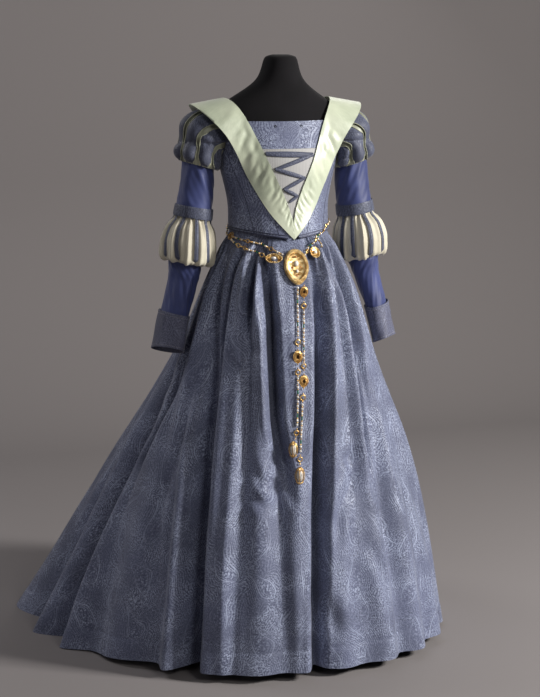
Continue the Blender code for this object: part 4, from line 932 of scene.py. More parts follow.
LOWER_SLEEVE = [
    (0.2498, 0.003, 1.0332, -80, -20, 0.0434, 0.0514),
    (0.2540, 0.002, 1.0120, -79, -21, 0.0390, 0.0485),
    (0.2585, 0.001, 0.9900, -78, -22, 0.0350, 0.0470),
    (0.2730, -0.006, 0.9400, -77, -26, 0.0310, 0.0450),
    (0.2870, -0.012, 0.8920, -77, -30, 0.0290, 0.0445),
]
CUFF = [
    (0.2855, -0.012, 0.9010, -77, -30, 0.0335, 0.0490),
    (0.2970, -0.015, 0.8500, -78, -30, 0.0320, 0.0520),
    (0.3070, -0.018, 0.8030, -78, -30, 0.0310, 0.0550),
]
ARMHOLE = (0.002, 1.368, 0.057, 0.068)
CUFF_POINT = 0.012
SHOULDER_PANES, ELBOW_PANES = 8, 10
LINING_ROWS, PANE_ROWS, BAND_ROWS, STRIP_ROWS, CUFF_ROWS = 44, 64, 12, 44, 40
STRIP_LIFT = 0.0042
PINCH_Z = 1.348


def arm_ring(row, turns, grow=0.0):
    """Points around the arm, turn 0 on the outer side."""
    x, y, z, tilt, twist, half_out, half_deep = row
    tilt, twist = math.radians(tilt), math.radians(twist)
    out = np.array([-math.sin(tilt), 0, math.cos(tilt)])
    deep = np.array([0, 1.0, 0])
    first = out * math.cos(twist) + deep * math.sin(twist)
    second = deep * math.cos(twist) - out * math.sin(twist)
    return (np.array([x, y, z]) + first * ((half_out + grow) * np.cos(turns))[:, None]
            + second * ((half_deep + grow) * np.sin(turns))[:, None])


def ring_between(inner_x, inner_z, outer_x, outer_z, y, half_deep):
    half = math.hypot(outer_x - inner_x, outer_z - inner_z) / 2
    tilt = math.degrees(math.atan2(inner_x - outer_x, outer_z - inner_z))
    return ((inner_x + outer_x) / 2, y, (inner_z + outer_z) / 2, tilt, 0, half, half_deep)


def lofted(grid, rows):
    """More rows between the rings, along smooth curves."""
    grid = np.asarray(grid)
    fine = through(range(len(grid)), grid.reshape(len(grid), -1), np.linspace(0, len(grid) - 1, rows))
    return fine.reshape(rows, *grid.shape[1:])


def arm_grid(table, turns, rows):
    return lofted([arm_ring(row, turns) for row in table], rows)


def middle_of(grid):
    return grid.mean(axis=1, keepdims=True)


def pushed(grid, amount, closed=True, core=None):
    """The grid moved out along its normals, away from the arm."""
    core = middle_of(grid) if core is None else core
    return grid + facing_out(grid, closed, core) * np.asarray(amount)[..., None]


def even_turns(count):
    return np.arange(count) * 2 * math.pi / count


def crested(angle):
    """A wave with narrow valleys and round crests, like soft cloth: -1 to 1."""
    return 1 - 2 * np.abs(np.sin(angle / 2)) ** 1.6


def tube(node, grid, sign, finish, thickness=CLOTH):
    """A cloth tube round the arm in the place of a node, mirrored on the right."""
    mirror = np.array([sign, 1, 1])
    shell = wall(grid * mirror, thickness=thickness, closed=True, core=middle_of(grid) * mirror)
    return cloth_piece(f"{node}_cloth", [shell], finish, (node,))


# %% [markdown]
# The first ring of the shoulder puff is sewn into the armhole, so it is cast onto the side of the bodice.

# %% Sleeve head
shoulder_body = surface_of(*[NODES[f"bodice_{part}_left"] for part in ("front", "side", "back")],
                           NODES["form_torso"])


def sleeve_head(turns, grow):
    """The first ring of the puff, laid over the edge of the bodice around the armhole."""
    y0, z0, half_y, half_z = ARMHOLE
    ring = []
    for turn in turns:
        start = Vector((1, y0 + (half_y + grow) * math.sin(turn), z0 + (half_z + grow) * math.cos(turn)))
        hit, normal = shoulder_body.ray_cast(start, Vector((-1, 0, 0)))[:2]
        ring.append(hit + normal * (0.0021 if hit.x > 0.1 else 0.0))
    return soften(np.array(ring), 1.5, 0, wrap=True)


def puff_grid(turns, rows, grow, head_grow):
    """The shoulder puff from the armhole down, with its foot ring last."""
    rings = [arm_ring(ring_between(*row), turns, grow) for row in SHOULDER_PUFF]
    return lofted([sleeve_head(turns, head_grow)] + rings, rows)


# %% [markdown]
# The puff is slashed into eight panes. A tape inside draws them in at half height, so each pane makes two
# pillows, a flat one above and a plump one below, and the satin lining shows in the lens-shaped slashes.
# Every pane is edged with a satin cord.

# %% Shoulder puffs
def tiers(grid):
    """How far each point is up its pillow, 0 and 1 at its ends, and whether it is in the upper tier."""
    z = grid[:, :, 2]
    foot, head = z[-1][None], z[0][None]
    pinch = np.clip(PINCH_Z + 0 * z, foot, head)
    upper = z > pinch
    low = (z - foot) / np.maximum(pinch - foot, 0.012)
    high = (z - pinch) / np.maximum(head - pinch, 0.012)
    return np.clip(np.where(upper, high, low), 0, 1), upper


def shoulder_puff(side, sign):
    mirror = np.array([sign, 1, 1])
    turns = even_turns(96)
    lining = puff_grid(turns, LINING_ROWS, -0.0050, -0.0040)
    place, _ = tiers(lining)
    z = lining[:, :, 2]
    lining = pushed(lining, -0.0030 * np.exp(-((z - PINCH_Z) / 0.010) ** 2)
                    + 0.0012 * crested(turns * 34 + 2 * np.sin(turns * 3))[None] * (1 - place ** 2) * 0.8)
    core = middle_of(lining)
    tube(f"sleeve_shoulder_lining_{side}", lining, sign, PIPING_SATIN)
    walls, cords = [], []
    across = np.linspace(-1, 1, 17)
    half_room = math.pi / SHOULDER_PANES
    for k in range(SHOULDER_PANES):
        middle = 2 * math.pi * k / SHOULDER_PANES
        room = puff_grid(middle + half_room * across, PANE_ROWS, 0.0, 0.0015)
        core = lofted(core, PANE_ROWS)
        place, upper = tiers(room)
        hump = np.sin(math.pi * place) ** 0.6
        narrow = np.where(upper, 0.88 - 0.16 * hump, 0.93 - 0.10 * hump - 0.42 * ease((0.36 - place) / 0.36))
        narrow = soften(narrow[:, [8]], 1.2, 0)[:, 0]
        pane = np.array([[np.interp(across * w, across, row[:, a]) for a in range(3)]
                         for w, row in zip(narrow, room)]).transpose(0, 2, 1)
        place, upper = tiers(pane)
        hump = np.sin(math.pi * place) ** 0.55
        crown = (1 - np.abs(across) ** 2.4)[None]
        rise = np.where(upper, 0.0055, 0.0110) * hump * crown - 0.0048 * (1 - hump) * crown
        wrinkle = 0.0008 * (1 - hump) * crested(across[None] * 9 + pane[:, :, 2] * 60 + k * 1.7 + sign)
        pane = pushed(pane, soften(rise + wrinkle, 1.0, 0), False, core)
        walls.append(wall(pane * mirror, core=core * mirror))
        edge = pane + facing_out(pane, False, core) * 0.0006
        cords += [edge[1:-1, column] * mirror for column in (0, -1)]
    node = f"sleeve_shoulder_panes_{side}"
    cloth_piece(f"{node}_cloth", walls, BAND_DAMASK, (node,))
    return cords


# %% [markdown]
# The silk tubes hang in long soft folds. At the elbow the cream cloth bellies out between the strips and
# falls over its lower seam, with curved creases where it is gathered at both ends.

# %% Silk tubes, bands and cuffs
def silk_tube(side, sign, name, table, rows, seed):
    turns = even_turns(96)
    grid = arm_grid(table, turns, rows)
    t = np.linspace(0, 1, rows)[:, None]
    chance = np.random.default_rng(seed + (sign < 0))
    total = np.zeros((rows, len(turns)))
    for middle in np.sort(chance.uniform(0, 2 * math.pi, 7)):
        lean = chance.uniform(-0.7, 0.7)
        width = chance.uniform(0.20, 0.42)
        gap = (turns[None] - middle - lean * t + math.pi) % (2 * math.pi) - math.pi
        strength = chance.uniform(0.4, 1.0)
        strength = strength * np.sin(math.pi * np.clip(t + chance.uniform(-0.2, 0.2), 0.05, 0.95))
        lips = np.exp(-((np.abs(gap) - 1.5 * width) / width) ** 2)
        total += strength * (np.exp(-(gap / width) ** 2) - 0.55 * lips)
    total += 0.25 * ripple(seed + 5, turns[None] * 3 + t * 5, 3.0)
    grid = pushed(grid, 0.0028 * total * ease(t / 0.12) * ease((1 - t) / 0.12) - 0.0008)
    tube(f"{name}_{side}", grid, sign, NAVY_SILK)


def elbow_band(side, sign):
    turns = even_turns(96)
    grid = arm_grid(ELBOW_BAND, turns, BAND_ROWS)
    t = np.linspace(0, 1, BAND_ROWS)[:, None]
    grid = pushed(grid, 0.0009 * np.sin(math.pi * t) ** 0.4 + 0.0006 * ripple(7, turns, 5.0)[None])
    tube(f"sleeve_elbow_band_{side}", grid, sign, BAND_DAMASK)


def elbow_puff(side, sign):
    columns, rows = ELBOW_PANES * 20, 60
    turns = even_turns(columns)
    grid = arm_grid(ELBOW_PUFF, turns, rows)
    t = np.linspace(0, 1, rows)[:, None]
    panel = turns * ELBOW_PANES / (2 * math.pi)
    inside = panel - np.floor(panel)
    belly = through((0, 0.2, 0.4, 0.6, 0.8, 1.0), (0.0, 0.20, 0.75, 1.0, 1.0, 0.0), t[:, 0])
    rise = 0.0078 * belly * (0.5 - 0.5 * np.cos(2 * math.pi * inside))[None] ** 0.8
    bend = np.sin(math.pi * t)
    number = np.floor(panel)
    phase = ripple(21 + (sign < 0), number, 2.3)
    across = inside[None] * (2.0 + 0.4 * phase) + bend * (0.35 + 0.3 * phase)
    folds = crested(2 * math.pi * across + number * 2.1)
    rise = rise + 0.0036 * folds * np.sin(math.pi * inside)[None] * (0.35 + 0.65 * np.sin(math.pi * t) ** 0.5)
    pleats = np.cos(turns * ELBOW_PANES * 5 + phase * 2)[None]
    rise = rise + 0.0013 * pleats * (ease((0.16 - t) / 0.16) + 0.8 * ease((t - 0.86) / 0.14))
    grid = pushed(grid, rise)
    grid[:, :, 2] -= 0.0050 * ease((t - 0.5) / 0.35) * ease((1 - t) / 0.10) * (1 + 0.6 * phase)[None]
    tube(f"sleeve_elbow_puff_{side}", grid, sign, CREAM_SILK)
    walls, cords = [], []
    s = np.linspace(-1, 1, 9)
    t = np.linspace(0, 1, STRIP_ROWS)[:, None]
    rings = through(range(len(ELBOW_PUFF)), ELBOW_PUFF, t[:, 0] * (len(ELBOW_PUFF) - 1))
    core = rings[:, None, :3]
    for k in range(ELBOW_PANES):
        sway = 0.080 * math.sin(k * 2.3 + sign) * np.sin(math.pi * t)
        at = 2 * math.pi * k / ELBOW_PANES + sway + s[None] * (0.088 - 0.018 * np.sin(math.pi * t))
        strip = np.array([arm_ring(ring, line, STRIP_LIFT) for ring, line in zip(rings, at)])
        strip = pushed(strip, 0.0014 * (1 - s[None] ** 2) - 0.0030 * ease((t - 0.90) / 0.10), False, core)
        walls.append(wall(strip * (sign, 1, 1), core=core * (sign, 1, 1)))
        cords += [strip[1:-1, column] * (sign, 1, 1) for column in (0, -1)]
    node = f"sleeve_elbow_panes_{side}"
    cloth_piece(f"{node}_cloth", walls, BAND_DAMASK, (node,))
    return cords


def cuff(side, sign):
    turns = even_turns(112)
    rings = np.array([arm_ring(row, turns) for row in CUFF])
    rings[-1, :, 2] -= CUFF_POINT * np.cos(turns - 2.2)
    grid = lofted(rings, CUFF_ROWS)
    t = np.linspace(0, 1, CUFF_ROWS)[:, None]
    grid = pushed(grid, 0.0016 * ripple(31, turns[None] * 2 + t * 2, 2.0) * ease(t / 0.3)
                  + 0.0007 * np.exp(-((t - 0.035) / 0.02) ** 2) + 0.0006 * np.exp(-((t - 0.97) / 0.02) ** 2))
    tube(f"cuff_{side}", grid, sign, CUFF_DAMASK, CUFF_CLOTH)
    return grid * (sign, 1, 1)


pane_cords, strip_cords, cuffs = [], [], {}
for side, sign in SIDES.items():
    pane_cords += shoulder_puff(side, sign)
    silk_tube(side, sign, "sleeve_upper", UPPER_SLEEVE, rows=60, seed=40)
    elbow_band(side, sign)
    strip_cords += elbow_puff(side, sign)
    silk_tube(side, sign, "sleeve_lower", LOWER_SLEEVE, rows=64, seed=60)
    cuffs[side] = cuff(side, sign)
print("sleeve cords:", len(pane_cords), "and", len(strip_cords))


# %% [markdown]
# ## Collar
# The collar is a wide band of celadon satin, folded double, that runs from the point at the waist over each
# shoulder to the back. Its solid already has the right line. A rounded copy takes a list of creases: satin
# pulled slantwise over the bust breaks into short sharp folds, most of them near the point.

# %% Creases of the collar
COLLAR_CREASES = [
    (0.0016, 0.0030, [(0.014, 1.128), (0.006, 1.150)]),
    (0.0014, 0.0026, [(0.020, 1.146), (0.010, 1.168)]),
    (0.0016, 0.0032, [(0.034, 1.160), (0.016, 1.182), (0.014, 1.196)]),
    (0.0013, 0.0024, [(0.030, 1.186), (0.022, 1.204)]),
    (0.0017, 0.0034, [(0.052, 1.184), (0.034, 1.206), (0.030, 1.226)]),
    (0.0014, 0.0028, [(0.040, 1.216), (0.034, 1.240)]),
    (0.0018, 0.0040, [(0.070, 1.214), (0.052, 1.236), (0.046, 1.262)]),
    (0.0014, 0.0030, [(0.074, 1.238), (0.062, 1.262)]),
    (0.0016, 0.0042, [(0.088, 1.250), (0.070, 1.276), (0.066, 1.300)]),
    (0.0014, 0.0036, [(0.102, 1.268), (0.088, 1.300)]),
    (0.0018, 0.0060, [(0.120, 1.300), (0.096, 1.330), (0.090, 1.352)]),
    (0.0016, 0.0050, [(0.134, 1.322), (0.116, 1.356)]),
    (0.0020, 0.0080, [(0.158, 1.356), (0.126, 1.384), (0.112, 1.412)]),
    (-0.0022, 0.0110, [(0.180, 1.390), (0.150, 1.410), (0.128, 1.436)]),
    (0.0026, 0.0060, [(0.060, 1.196), (0.046, 1.222), (0.044, 1.250)]),
    (0.0024, 0.0070, [(0.094, 1.236), (0.080, 1.266), (0.080, 1.292)]),
    (-0.0020, 0.0080, [(0.108, 1.286), (0.100, 1.312), (0.108, 1.340)]),
    (0.0024, 0.0070, [(0.128, 1.338), (0.112, 1.366), (0.116, 1.392)]),
    (-0.0016, 0.0060, [(0.030, 1.160), (0.026, 1.176)]),
]


def creased(piece, amount, core):
    """Sinks a rounded copy by an amount at each vertex, both faces of the wall alike."""
    points = vertices_of(piece)
    normals = np.zeros_like(points).ravel()
    piece.data.vertices.foreach_get("normal", normals)
    normals = normals.reshape(-1, 3)
    facing = np.sign(((points - core) * normals).sum(axis=1, keepdims=True))
    points -= normals * facing * amount[:, None]
    piece.data.vertices.foreach_set("co", points.ravel())
    piece.data.update()


# %% [markdown]
# Both halves take the same list, mirrored and a few millimetres apart, with a faint unevenness of their own.

# %% Collar
for side, sign in SIDES.items():
    collar = rounded_copy(f"collar_{side}", f"collar_{side}_cloth", COLLAR_SATIN,
                          levels=3)
    points = vertices_of(collar)
    x, z = points[:, 0] * sign, points[:, 2]
    shift = 0.004 * sign
    sunk = troughs(x, z + shift, COLLAR_CREASES) * (points[:, 1] < 0.0)
    sunk += 0.0009 * ripple(51 + (sign < 0), x * 0.5 + z, 55.0) * ripple(52, x - z * 0.6, 45.0)
    sunk *= ease(x / 0.006)
    creased(collar, sunk, np.stack([x * 0, x * 0, z - 0.10], axis=1))
print("creases on each half of the collar:", len(COLLAR_CREASES))

# %% [markdown]
# ## Lacing
# One flattened lace zigzags over the striped insert and disappears under the collar. Each stretch is a padded
# strip, narrow where it goes round the edge and widest in the middle, and the next one lies over its end.

# %% Lacing
LACES = [
    (-0.0640, 1.3210, 0.0150),
    (0.0590, 1.3165, 0.0110),
    (-0.0425, 1.2815, 0.0115),
    (0.0345, 1.2575, 0.0105),
    (-0.0210, 1.2290, 0.0100),
    (0.0150, 1.2110, 0.0085),
    (-0.0075, 1.1960, 0.0085),
]
bodice_front = surface_of(*[NODES[node] for node in ("stomacher", "neckline_panel", "bodice_front_left",
                                                     "bodice_front_right")])


def on_front(tree, x, z, lift=0.0):
    """The point straight in front of (x, z), moved out by lift."""
    hit, normal = tree.ray_cast(Vector((x, -1, z)), Vector((0, 1, 0)))[:2]
    return hit + (normal if normal.y < 0 else -normal) * lift


laces = []
for k, ((x0, z0, width), (x1, z1, _)) in enumerate(zip(LACES, LACES[1:])):
    reach = math.hypot(x1 - x0, z1 - z0)
    side_x, side_z = -(z1 - z0) / reach, (x1 - x0) / reach
    lace = np.empty((30, 9, 3))
    for r, t in enumerate(np.linspace(-0.03, 1.03, 30)):
        half = width * (0.36 + 0.14 * math.sin(math.pi * min(max(t, 0), 1)))
        for c, s in enumerate(np.linspace(-1, 1, 9)):
            x = x0 + (x1 - x0) * t + side_x * half * s
            z = z0 + (z1 - z0) * t + side_z * half * s
            lift = 0.0014 + 0.0026 * (1 - s * s) ** 0.6 + 0.0014 * (1 - t) + 0.0002 * math.sin(t * 40 + k)
            lace[r, c] = on_front(bodice_front, x, z, lift)
    laces.append(wall(soften(lace, 0.8, 0), thickness=LACE_CLOTH, core=np.zeros(3)))
cloth_piece("lacing_cloth", laces, BAND_DAMASK, ("lacing",))
print("laces:", len(laces))


# %% [markdown]
# ## Cords and beads
# Two small Geometry Nodes trees make all the trims. The first turns lines into cords. The second sets a copy
# of a little template at each point of a mesh, turned along one attribute and sized by another, which serves
# for stitches, pearls, glass tubes, gilt links and the granules on the mounts.

# %% Node trees for cords and beads
def new_tree(name, inputs):
    tree = bpy.data.node_groups.new(name, "GeometryNodeTree")
    tree.interface.new_socket("Geometry", in_out="INPUT", socket_type="NodeSocketGeometry")
    for label, kind in inputs:
        tree.interface.new_socket(label, in_out="INPUT", socket_type="NodeSocket" + kind)
    tree.interface.new_socket("Geometry", in_out="OUTPUT", socket_type="NodeSocketGeometry")
    return tree, tree.nodes.new("NodeGroupInput"), tree.nodes.new("NodeGroupOutput")


def joined(tree, *pairs):
    """Links pairs of sockets, each a node and a socket's name or number."""
    for (a, out), (b, into) in pairs:
        tree.links.new(a.outputs[out], b.inputs[into])


def cord_tree():
    tree, given, result = new_tree("cord along lines", [("Radius", "Float"), ("Material", "Material")])
    curve = tree.nodes.new("GeometryNodeMeshToCurve")
    ring = tree.nodes.new("GeometryNodeCurvePrimitiveCircle")
    ring.inputs["Resolution"].default_value = 6
    sweep = tree.nodes.new("GeometryNodeCurveToMesh")
    sweep.inputs["Fill Caps"].default_value = True
    paint = tree.nodes.new("GeometryNodeSetMaterial")
    joined(tree, ((given, "Geometry"), (curve, "Mesh")), ((given, "Radius"), (ring, "Radius")),
           ((curve, "Curve"), (sweep, "Curve")), ((ring, "Curve"), (sweep, "Profile Curve")),
           ((sweep, "Mesh"), (paint, "Geometry")), ((given, "Material"), (paint, "Material")),
           ((paint, "Geometry"), (result, "Geometry")))
    return tree


def bead_tree():
    tree, given, result = new_tree("beads at points", [("Template", "Object"), ("Uneven", "Float"),
                                                       ("Seed", "Int"), ("Material", "Material")])
    template = tree.nodes.new("GeometryNodeObjectInfo")
    names = {}
    for label in ("along", "out", "size"):
        names[label] = tree.nodes.new("GeometryNodeInputNamedAttribute")
        names[label].data_type = "FLOAT_VECTOR"
        names[label].inputs["Name"].default_value = label
    first = tree.nodes.new("FunctionNodeAlignRotationToVector")
    first.axis = "Z"
    second = tree.nodes.new("FunctionNodeAlignRotationToVector")
    second.axis, second.pivot_axis = "X", "Z"
    chance = tree.nodes.new("FunctionNodeRandomValue")
    less = tree.nodes.new("ShaderNodeMath")
    less.operation = "SUBTRACT"
    less.inputs[0].default_value = 1.0
    more = tree.nodes.new("ShaderNodeMath")
    more.inputs[0].default_value = 1.0
    scale = tree.nodes.new("ShaderNodeVectorMath")
    scale.operation = "SCALE"
    put = tree.nodes.new("GeometryNodeInstanceOnPoints")
    real = tree.nodes.new("GeometryNodeRealizeInstances")
    paint = tree.nodes.new("GeometryNodeSetMaterial")
    for label, source in (("Min", less), ("Max", more)):
        end = next(s for s in chance.inputs if s.name == label and s.type == "VALUE")
        tree.links.new(source.outputs[0], end)
    amount = next(s for s in chance.outputs if s.type == "VALUE")
    tree.links.new(amount, scale.inputs["Scale"])
    joined(tree, ((given, "Template"), (template, "Object")), ((given, "Uneven"), (less, 1)),
           ((given, "Uneven"), (more, 1)), ((given, "Seed"), (chance, "Seed")),
           ((names["along"], "Attribute"), (first, "Vector")), ((first, "Rotation"), (second, "Rotation")),
           ((names["out"], "Attribute"), (second, "Vector")), ((names["size"], "Attribute"), (scale, 0)),
           ((given, "Geometry"), (put, "Points")), ((template, "Geometry"), (put, "Instance")),
           ((second, "Rotation"), (put, "Rotation")), ((scale, "Vector"), (put, "Scale")),
           ((put, "Instances"), (real, "Geometry")), ((real, "Geometry"), (paint, "Geometry")),
           ((given, "Material"), (paint, "Material")), ((paint, "Geometry"), (result, "Geometry")))
    return tree


CORD_TREE, BEAD_TREE = cord_tree(), bead_tree()


def grown(name, mesh, tree, slot, replaces=(), **inputs):
    """Runs a tree on a mesh with its inputs and keeps the result as a piece."""
    seed = placed(name + "_seed", mesh)
    run = seed.modifiers.new("grow", "NODES")
    run.node_group = tree
    for item in tree.interface.items_tree:
        if item.in_out == "INPUT" and item.name in inputs:
            run[item.identifier] = inputs[item.name]
    made = bpy.data.meshes.new_from_object(seed.evaluated_get(bpy.context.evaluated_depsgraph_get()))
    seed.modifiers.clear()
    bpy.data.objects.remove(seed)
    return finished(name, made, inputs["Material"], replaces)


def cords(name, lines, radius, finish, slot):
    """Round cords along lines."""
    points, edges = [], []
    for line in lines:
        edges += [(len(points) + k, len(points) + k + 1) for k in range(len(line) - 1)]
        points += [tuple(point) for point in line]
    mesh = bpy.data.meshes.new(name)
    mesh.from_pydata(points, edges, [])
    return grown(name, mesh, CORD_TREE, slot, Radius=radius, Material=finish)


def template(name, points, faces):
    mesh = bpy.data.meshes.new(name)
    mesh.from_pydata([tuple(p) for p in points], [], faces)
    mesh.shade_smooth()
    return placed(name, mesh)


def turned(name, profile, sides):
    """A closed template turned about its Z axis from radius and height pairs, ending on the axis."""
    points, faces = [(0, 0, profile[0][1])], []
    for radius, height in profile[1:-1]:
        points += [(radius * math.cos(t), radius * math.sin(t), height) for t in even_turns(sides)]
    points.append((0, 0, profile[-1][1]))
    for c in range(sides):
        faces.append((0, 1 + (c + 1) % sides, 1 + c))
        for r in range(len(profile) - 3):
            a, b = 1 + r * sides + c, 1 + r * sides + (c + 1) % sides
            faces.append((a, b, b + sides, a + sides))
        last = 1 + (len(profile) - 3) * sides
        faces.append((last + c, last + (c + 1) % sides, len(points) - 1))
    return template(name, points, faces)


def hoop(name, wire):
    """A ring template of outer radius 0.5 in its own YZ plane, facing along X, of wire of that radius."""
    sides, round_sides = 14, 6
    points, faces = [], []
    for r, turn in enumerate(even_turns(sides)):
        for c, bend in enumerate(even_turns(round_sides)):
            radius = 0.5 - wire + wire * math.cos(bend)
            points.append((wire * math.sin(bend), radius * math.cos(turn), radius * math.sin(turn)))
            a, b = r * round_sides + c, r * round_sides + (c + 1) % round_sides
            step = ((r + 1) % sides - r) * round_sides
            faces.append((a, b, b + step, a + step))
    return template(name, points, faces)


def beads(name, spots, shape, finish, slot, uneven, seed=1, replaces=()):
    """Copies of a template at spots, each a point, a direction along, a direction out and a size."""
    mesh = bpy.data.meshes.new(name)
    mesh.from_pydata([tuple(spot[0]) for spot in spots], [], [])
    for k, label in enumerate(("along", "out", "size"), 1):
        values = np.array([tuple(spot[k]) for spot in spots], np.float32)
        mesh.attributes.new(label, "FLOAT_VECTOR", "POINT").data.foreach_set("vector", values.ravel())
    return grown(name, mesh, BEAD_TREE, slot, replaces, Template=shape, Uneven=uneven, Seed=seed,
                 Material=finish)


PEARL_SHAPE = turned("pearl_shape", [(0, -0.5), (0.30, -0.41), (0.48, -0.16), (0.48, 0.16), (0.30, 0.41),
                                     (0, 0.5)], 9)
TUBE_SHAPE = turned("tube_shape", [(0, -0.5), (0.40, -0.5), (0.5, -0.42), (0.5, 0.42), (0.40, 0.5),
                                   (0, 0.5)], 6)
RING_SHAPE = hoop("ring_shape", 0.11)
GRAIN_SHAPE = turned("grain_shape", [(0, -0.5), (0.44, -0.24), (0.44, 0.24), (0, 0.5)], 7)
TEMPLATES = (PEARL_SHAPE, TUBE_SHAPE, RING_SHAPE, GRAIN_SHAPE)
print("bead templates:", len(TEMPLATES))

# %% [markdown]
# ## Piping and stitches
# The bodice's lower edge is bound with a double cord, its front seams, the panes and the strips have a fine
# one, and the hem and the cuffs show their sewing.

# %% Piping
BODICE_HEM = [(0, 1.100), (8, 1.1035), (25, 1.109), (50, 1.114), (90, 1.119), (180, 1.121)]


def around(tree, degrees, z, lift, centre_y=0.0):
    """The point of a surface in a direction at a height, moved straight out by lift."""
    out = Vector((math.cos(math.radians(degrees)), math.sin(math.radians(degrees)), 0))
    hit = tree.ray_cast(Vector((0, centre_y, z)) + out * 1.5, -out)[0]
    return hit + out * lift if hit else None


bodice_skin = surface_of(*bodice)
edges = []
for rise, lift in ((0.0012, 0.0010), (0.0072, 0.0008)):
    for start, stop in ((-87.0, 88.5), (-93.0, -268.5)):
        line = []
        for degrees in np.linspace(start, stop, 120):
            off_front = abs((degrees + 270) % 360 - 180)
            height = through(*zip(*BODICE_HEM), [off_front])[0, 0] + rise
            point = around(bodice_skin, degrees, height, lift)
            if point:
                line.append(point)
        edges.append(line)
cords("bodice_edge_cord", edges[:2], 0.0021, EDGE_CORD, "damask")
cords("bodice_second_cord", edges[2:], 0.0014, EDGE_CORD, "damask")
SEAMS = [[(-161, 1.330), (-153, 1.272), (-142, 1.200), (-133, 1.136), (-130, 1.122)],
         [(-109, 1.150), (-106, 1.124), (-104, 1.110)]]
seams = []
for hand in (1, -1):
    for path in SEAMS:
        fine = through(range(len(path)), path, np.linspace(0, len(path) - 1, 60))
        line = [around(bodice_skin, degrees if hand > 0 else -180 - degrees, height, 0.00015)
                for degrees, height in fine]
        seams.append([point for point in line if point])
cords("bodice_seams", seams, 0.0008, EDGE_CORD, "damask")
cords("shoulder_pane_cords", pane_cords, 0.0013, PIPING_SATIN, "collar_satin")
cords("elbow_strip_cords", strip_cords, 0.0009, PALE_EDGE, "damask")


# %% [markdown]
# Stitches, beads and granules stand at even steps along a line, so a line has to give its point at any
# length along it.

# %% Stitches
class Route:
    """A line that gives the point at any length along it."""

    def __init__(self, line):
        self.columns = np.array([tuple(point) for point in line], float).T
        steps = np.linalg.norm(np.diff(self.columns.T, axis=0), axis=1)
        self.run = np.concatenate([[0], np.cumsum(steps)])
        self.length = self.run[-1]

    def at(self, place):
        return np.array([np.interp(place, self.run, column) for column in self.columns])


def stitches(name, lines, finish, pitch, length, width):
    """Short stitches laid end to end along lines of points on a piece."""
    spots = []
    for line in lines:
        route = Route(line)
        for place in np.arange(pitch / 2, route.length, pitch):
            point = route.at(place)
            along = route.at(place + pitch * 0.2) - point
            spots.append((point, along / max(np.linalg.norm(along), 1e-9), point * (1, 1, 0),
                          (width, width, length)))
    return beads(name, spots, TUBE_SHAPE, finish, "damask", uneven=0.1)


hem_row = int(np.argmin(np.abs(ROWS[::-1] - HEM_STITCHES_Z)))
hem_line = skirt_grid[hem_row] + facing_out(skirt_grid, True)[hem_row] * 0.0002
hem_line = np.concatenate([hem_line, hem_line[:1]])
stitches("hem_stitches", [hem_line], BASTING, pitch=0.0085, length=0.0042, width=0.0010)
cuff_lines = [np.concatenate([grid[row], grid[row][:1]]) for grid in cuffs.values() for row in (3, 36)]
stitches("cuff_stitches", cuff_lines, CUFF_THREAD, pitch=0.0050, length=0.0030, width=0.0009)

hooks = []
for x in (-0.0355, 0.0355):
    middle = on_front(surface_of(neckline), x, 1.390, 0.0006)
    hooks.append((middle, (0, 0, 1), (0, -1, 0), (0.0036, 0.0062, 0.0080)))
beads("neckline_hooks", hooks, RING_SHAPE, HOOK_BLACK, "form_steel", uneven=0.0)


# %% [markdown]
# ## Girdle
# A jewelled belt sits on the hips: an egg-shaped clasp between two plaques, two chains on the wearer's right,
# two on the left, and two long strands that end in caged pearls. The mounts are cast and gilded, with
# granules soldered round their rims and wire scrolls on their sunk floors. Each chain is laid on the finished
# cloth, so the beads rest on the crests of the gathers and bridge the hollows.

# %% Lines on the dress
CHAINS = {
    "girdle_chain_back": [(-62.5, 1.078), (-56, 1.093), (-50, 1.106), (-44, 1.120), (-36, 1.129),
                          (-20, 1.134), (30, 1.134), (90, 1.130), (140, 1.128), (165, 1.118),
                          (178, 1.105), (186, 1.103)],
    "girdle_chain_upper": [(-166, 1.1030), (-151, 1.098), (-130.7, 1.0905), (-115, 1.079), (-102, 1.063)],
    "girdle_chain_lower": [(-165, 1.0950), (-145, 1.0800), (-131, 1.0710), (-119, 1.0570)],
}
SECOND_CHAIN = [(-84, 1.058), (-73, 1.081), (-66, 1.092), (-58, 1.104), (-52, 1.114)]
PATTERNS = {
    "girdle_chain_back": "gold pearl gold link gold pearl gold tube gold pearl gold gold",
    "girdle_chain_upper": "gold pearl gold gold pearl gold tube gold pearl gold gold link gold",
    "girdle_chain_lower": "gold pearl gold pearl gold tube gold link gold gold link gold",
    "second": "gold pearl gold link gold pearl gold tube",
    "strand": "big gold big gold big gold tube gold big gold big gold big gold big gold tube gold",
}
BEADS = {
    "big": (PEARL_SHAPE, 0.0070, 0.0066),
    "pearl": (PEARL_SHAPE, 0.0062, 0.0056),
    "gold": (PEARL_SHAPE, 0.0054, 0.0042),
    "tube": (TUBE_SHAPE, 0.0036, 0.0092),
    "link": (RING_SHAPE, 0.0130, 0.0130),
}
BEAD_GAP = 0.0003
STRAND_RIGHT_X = [(0.984, -0.0069), (0.949, -0.0108), (0.899, -0.0154), (0.847, -0.0203), (0.770, -0.0275),
                  (0.700, -0.0337), (0.621, -0.0430), (0.600, -0.0490), (0.582, -0.0555), (0.550, -0.0585)]
STRAND_LEFT_X = [(0.984, 0.0105), (0.973, 0.0100), (0.933, 0.0056), (0.873, -0.0005), (0.801, -0.0070),
                 (0.747, -0.0118), (0.705, -0.0190), (0.638, -0.0280), (0.569, -0.0370), (0.554, -0.0397),
                 (0.518, -0.0440), (0.485, -0.0460)]
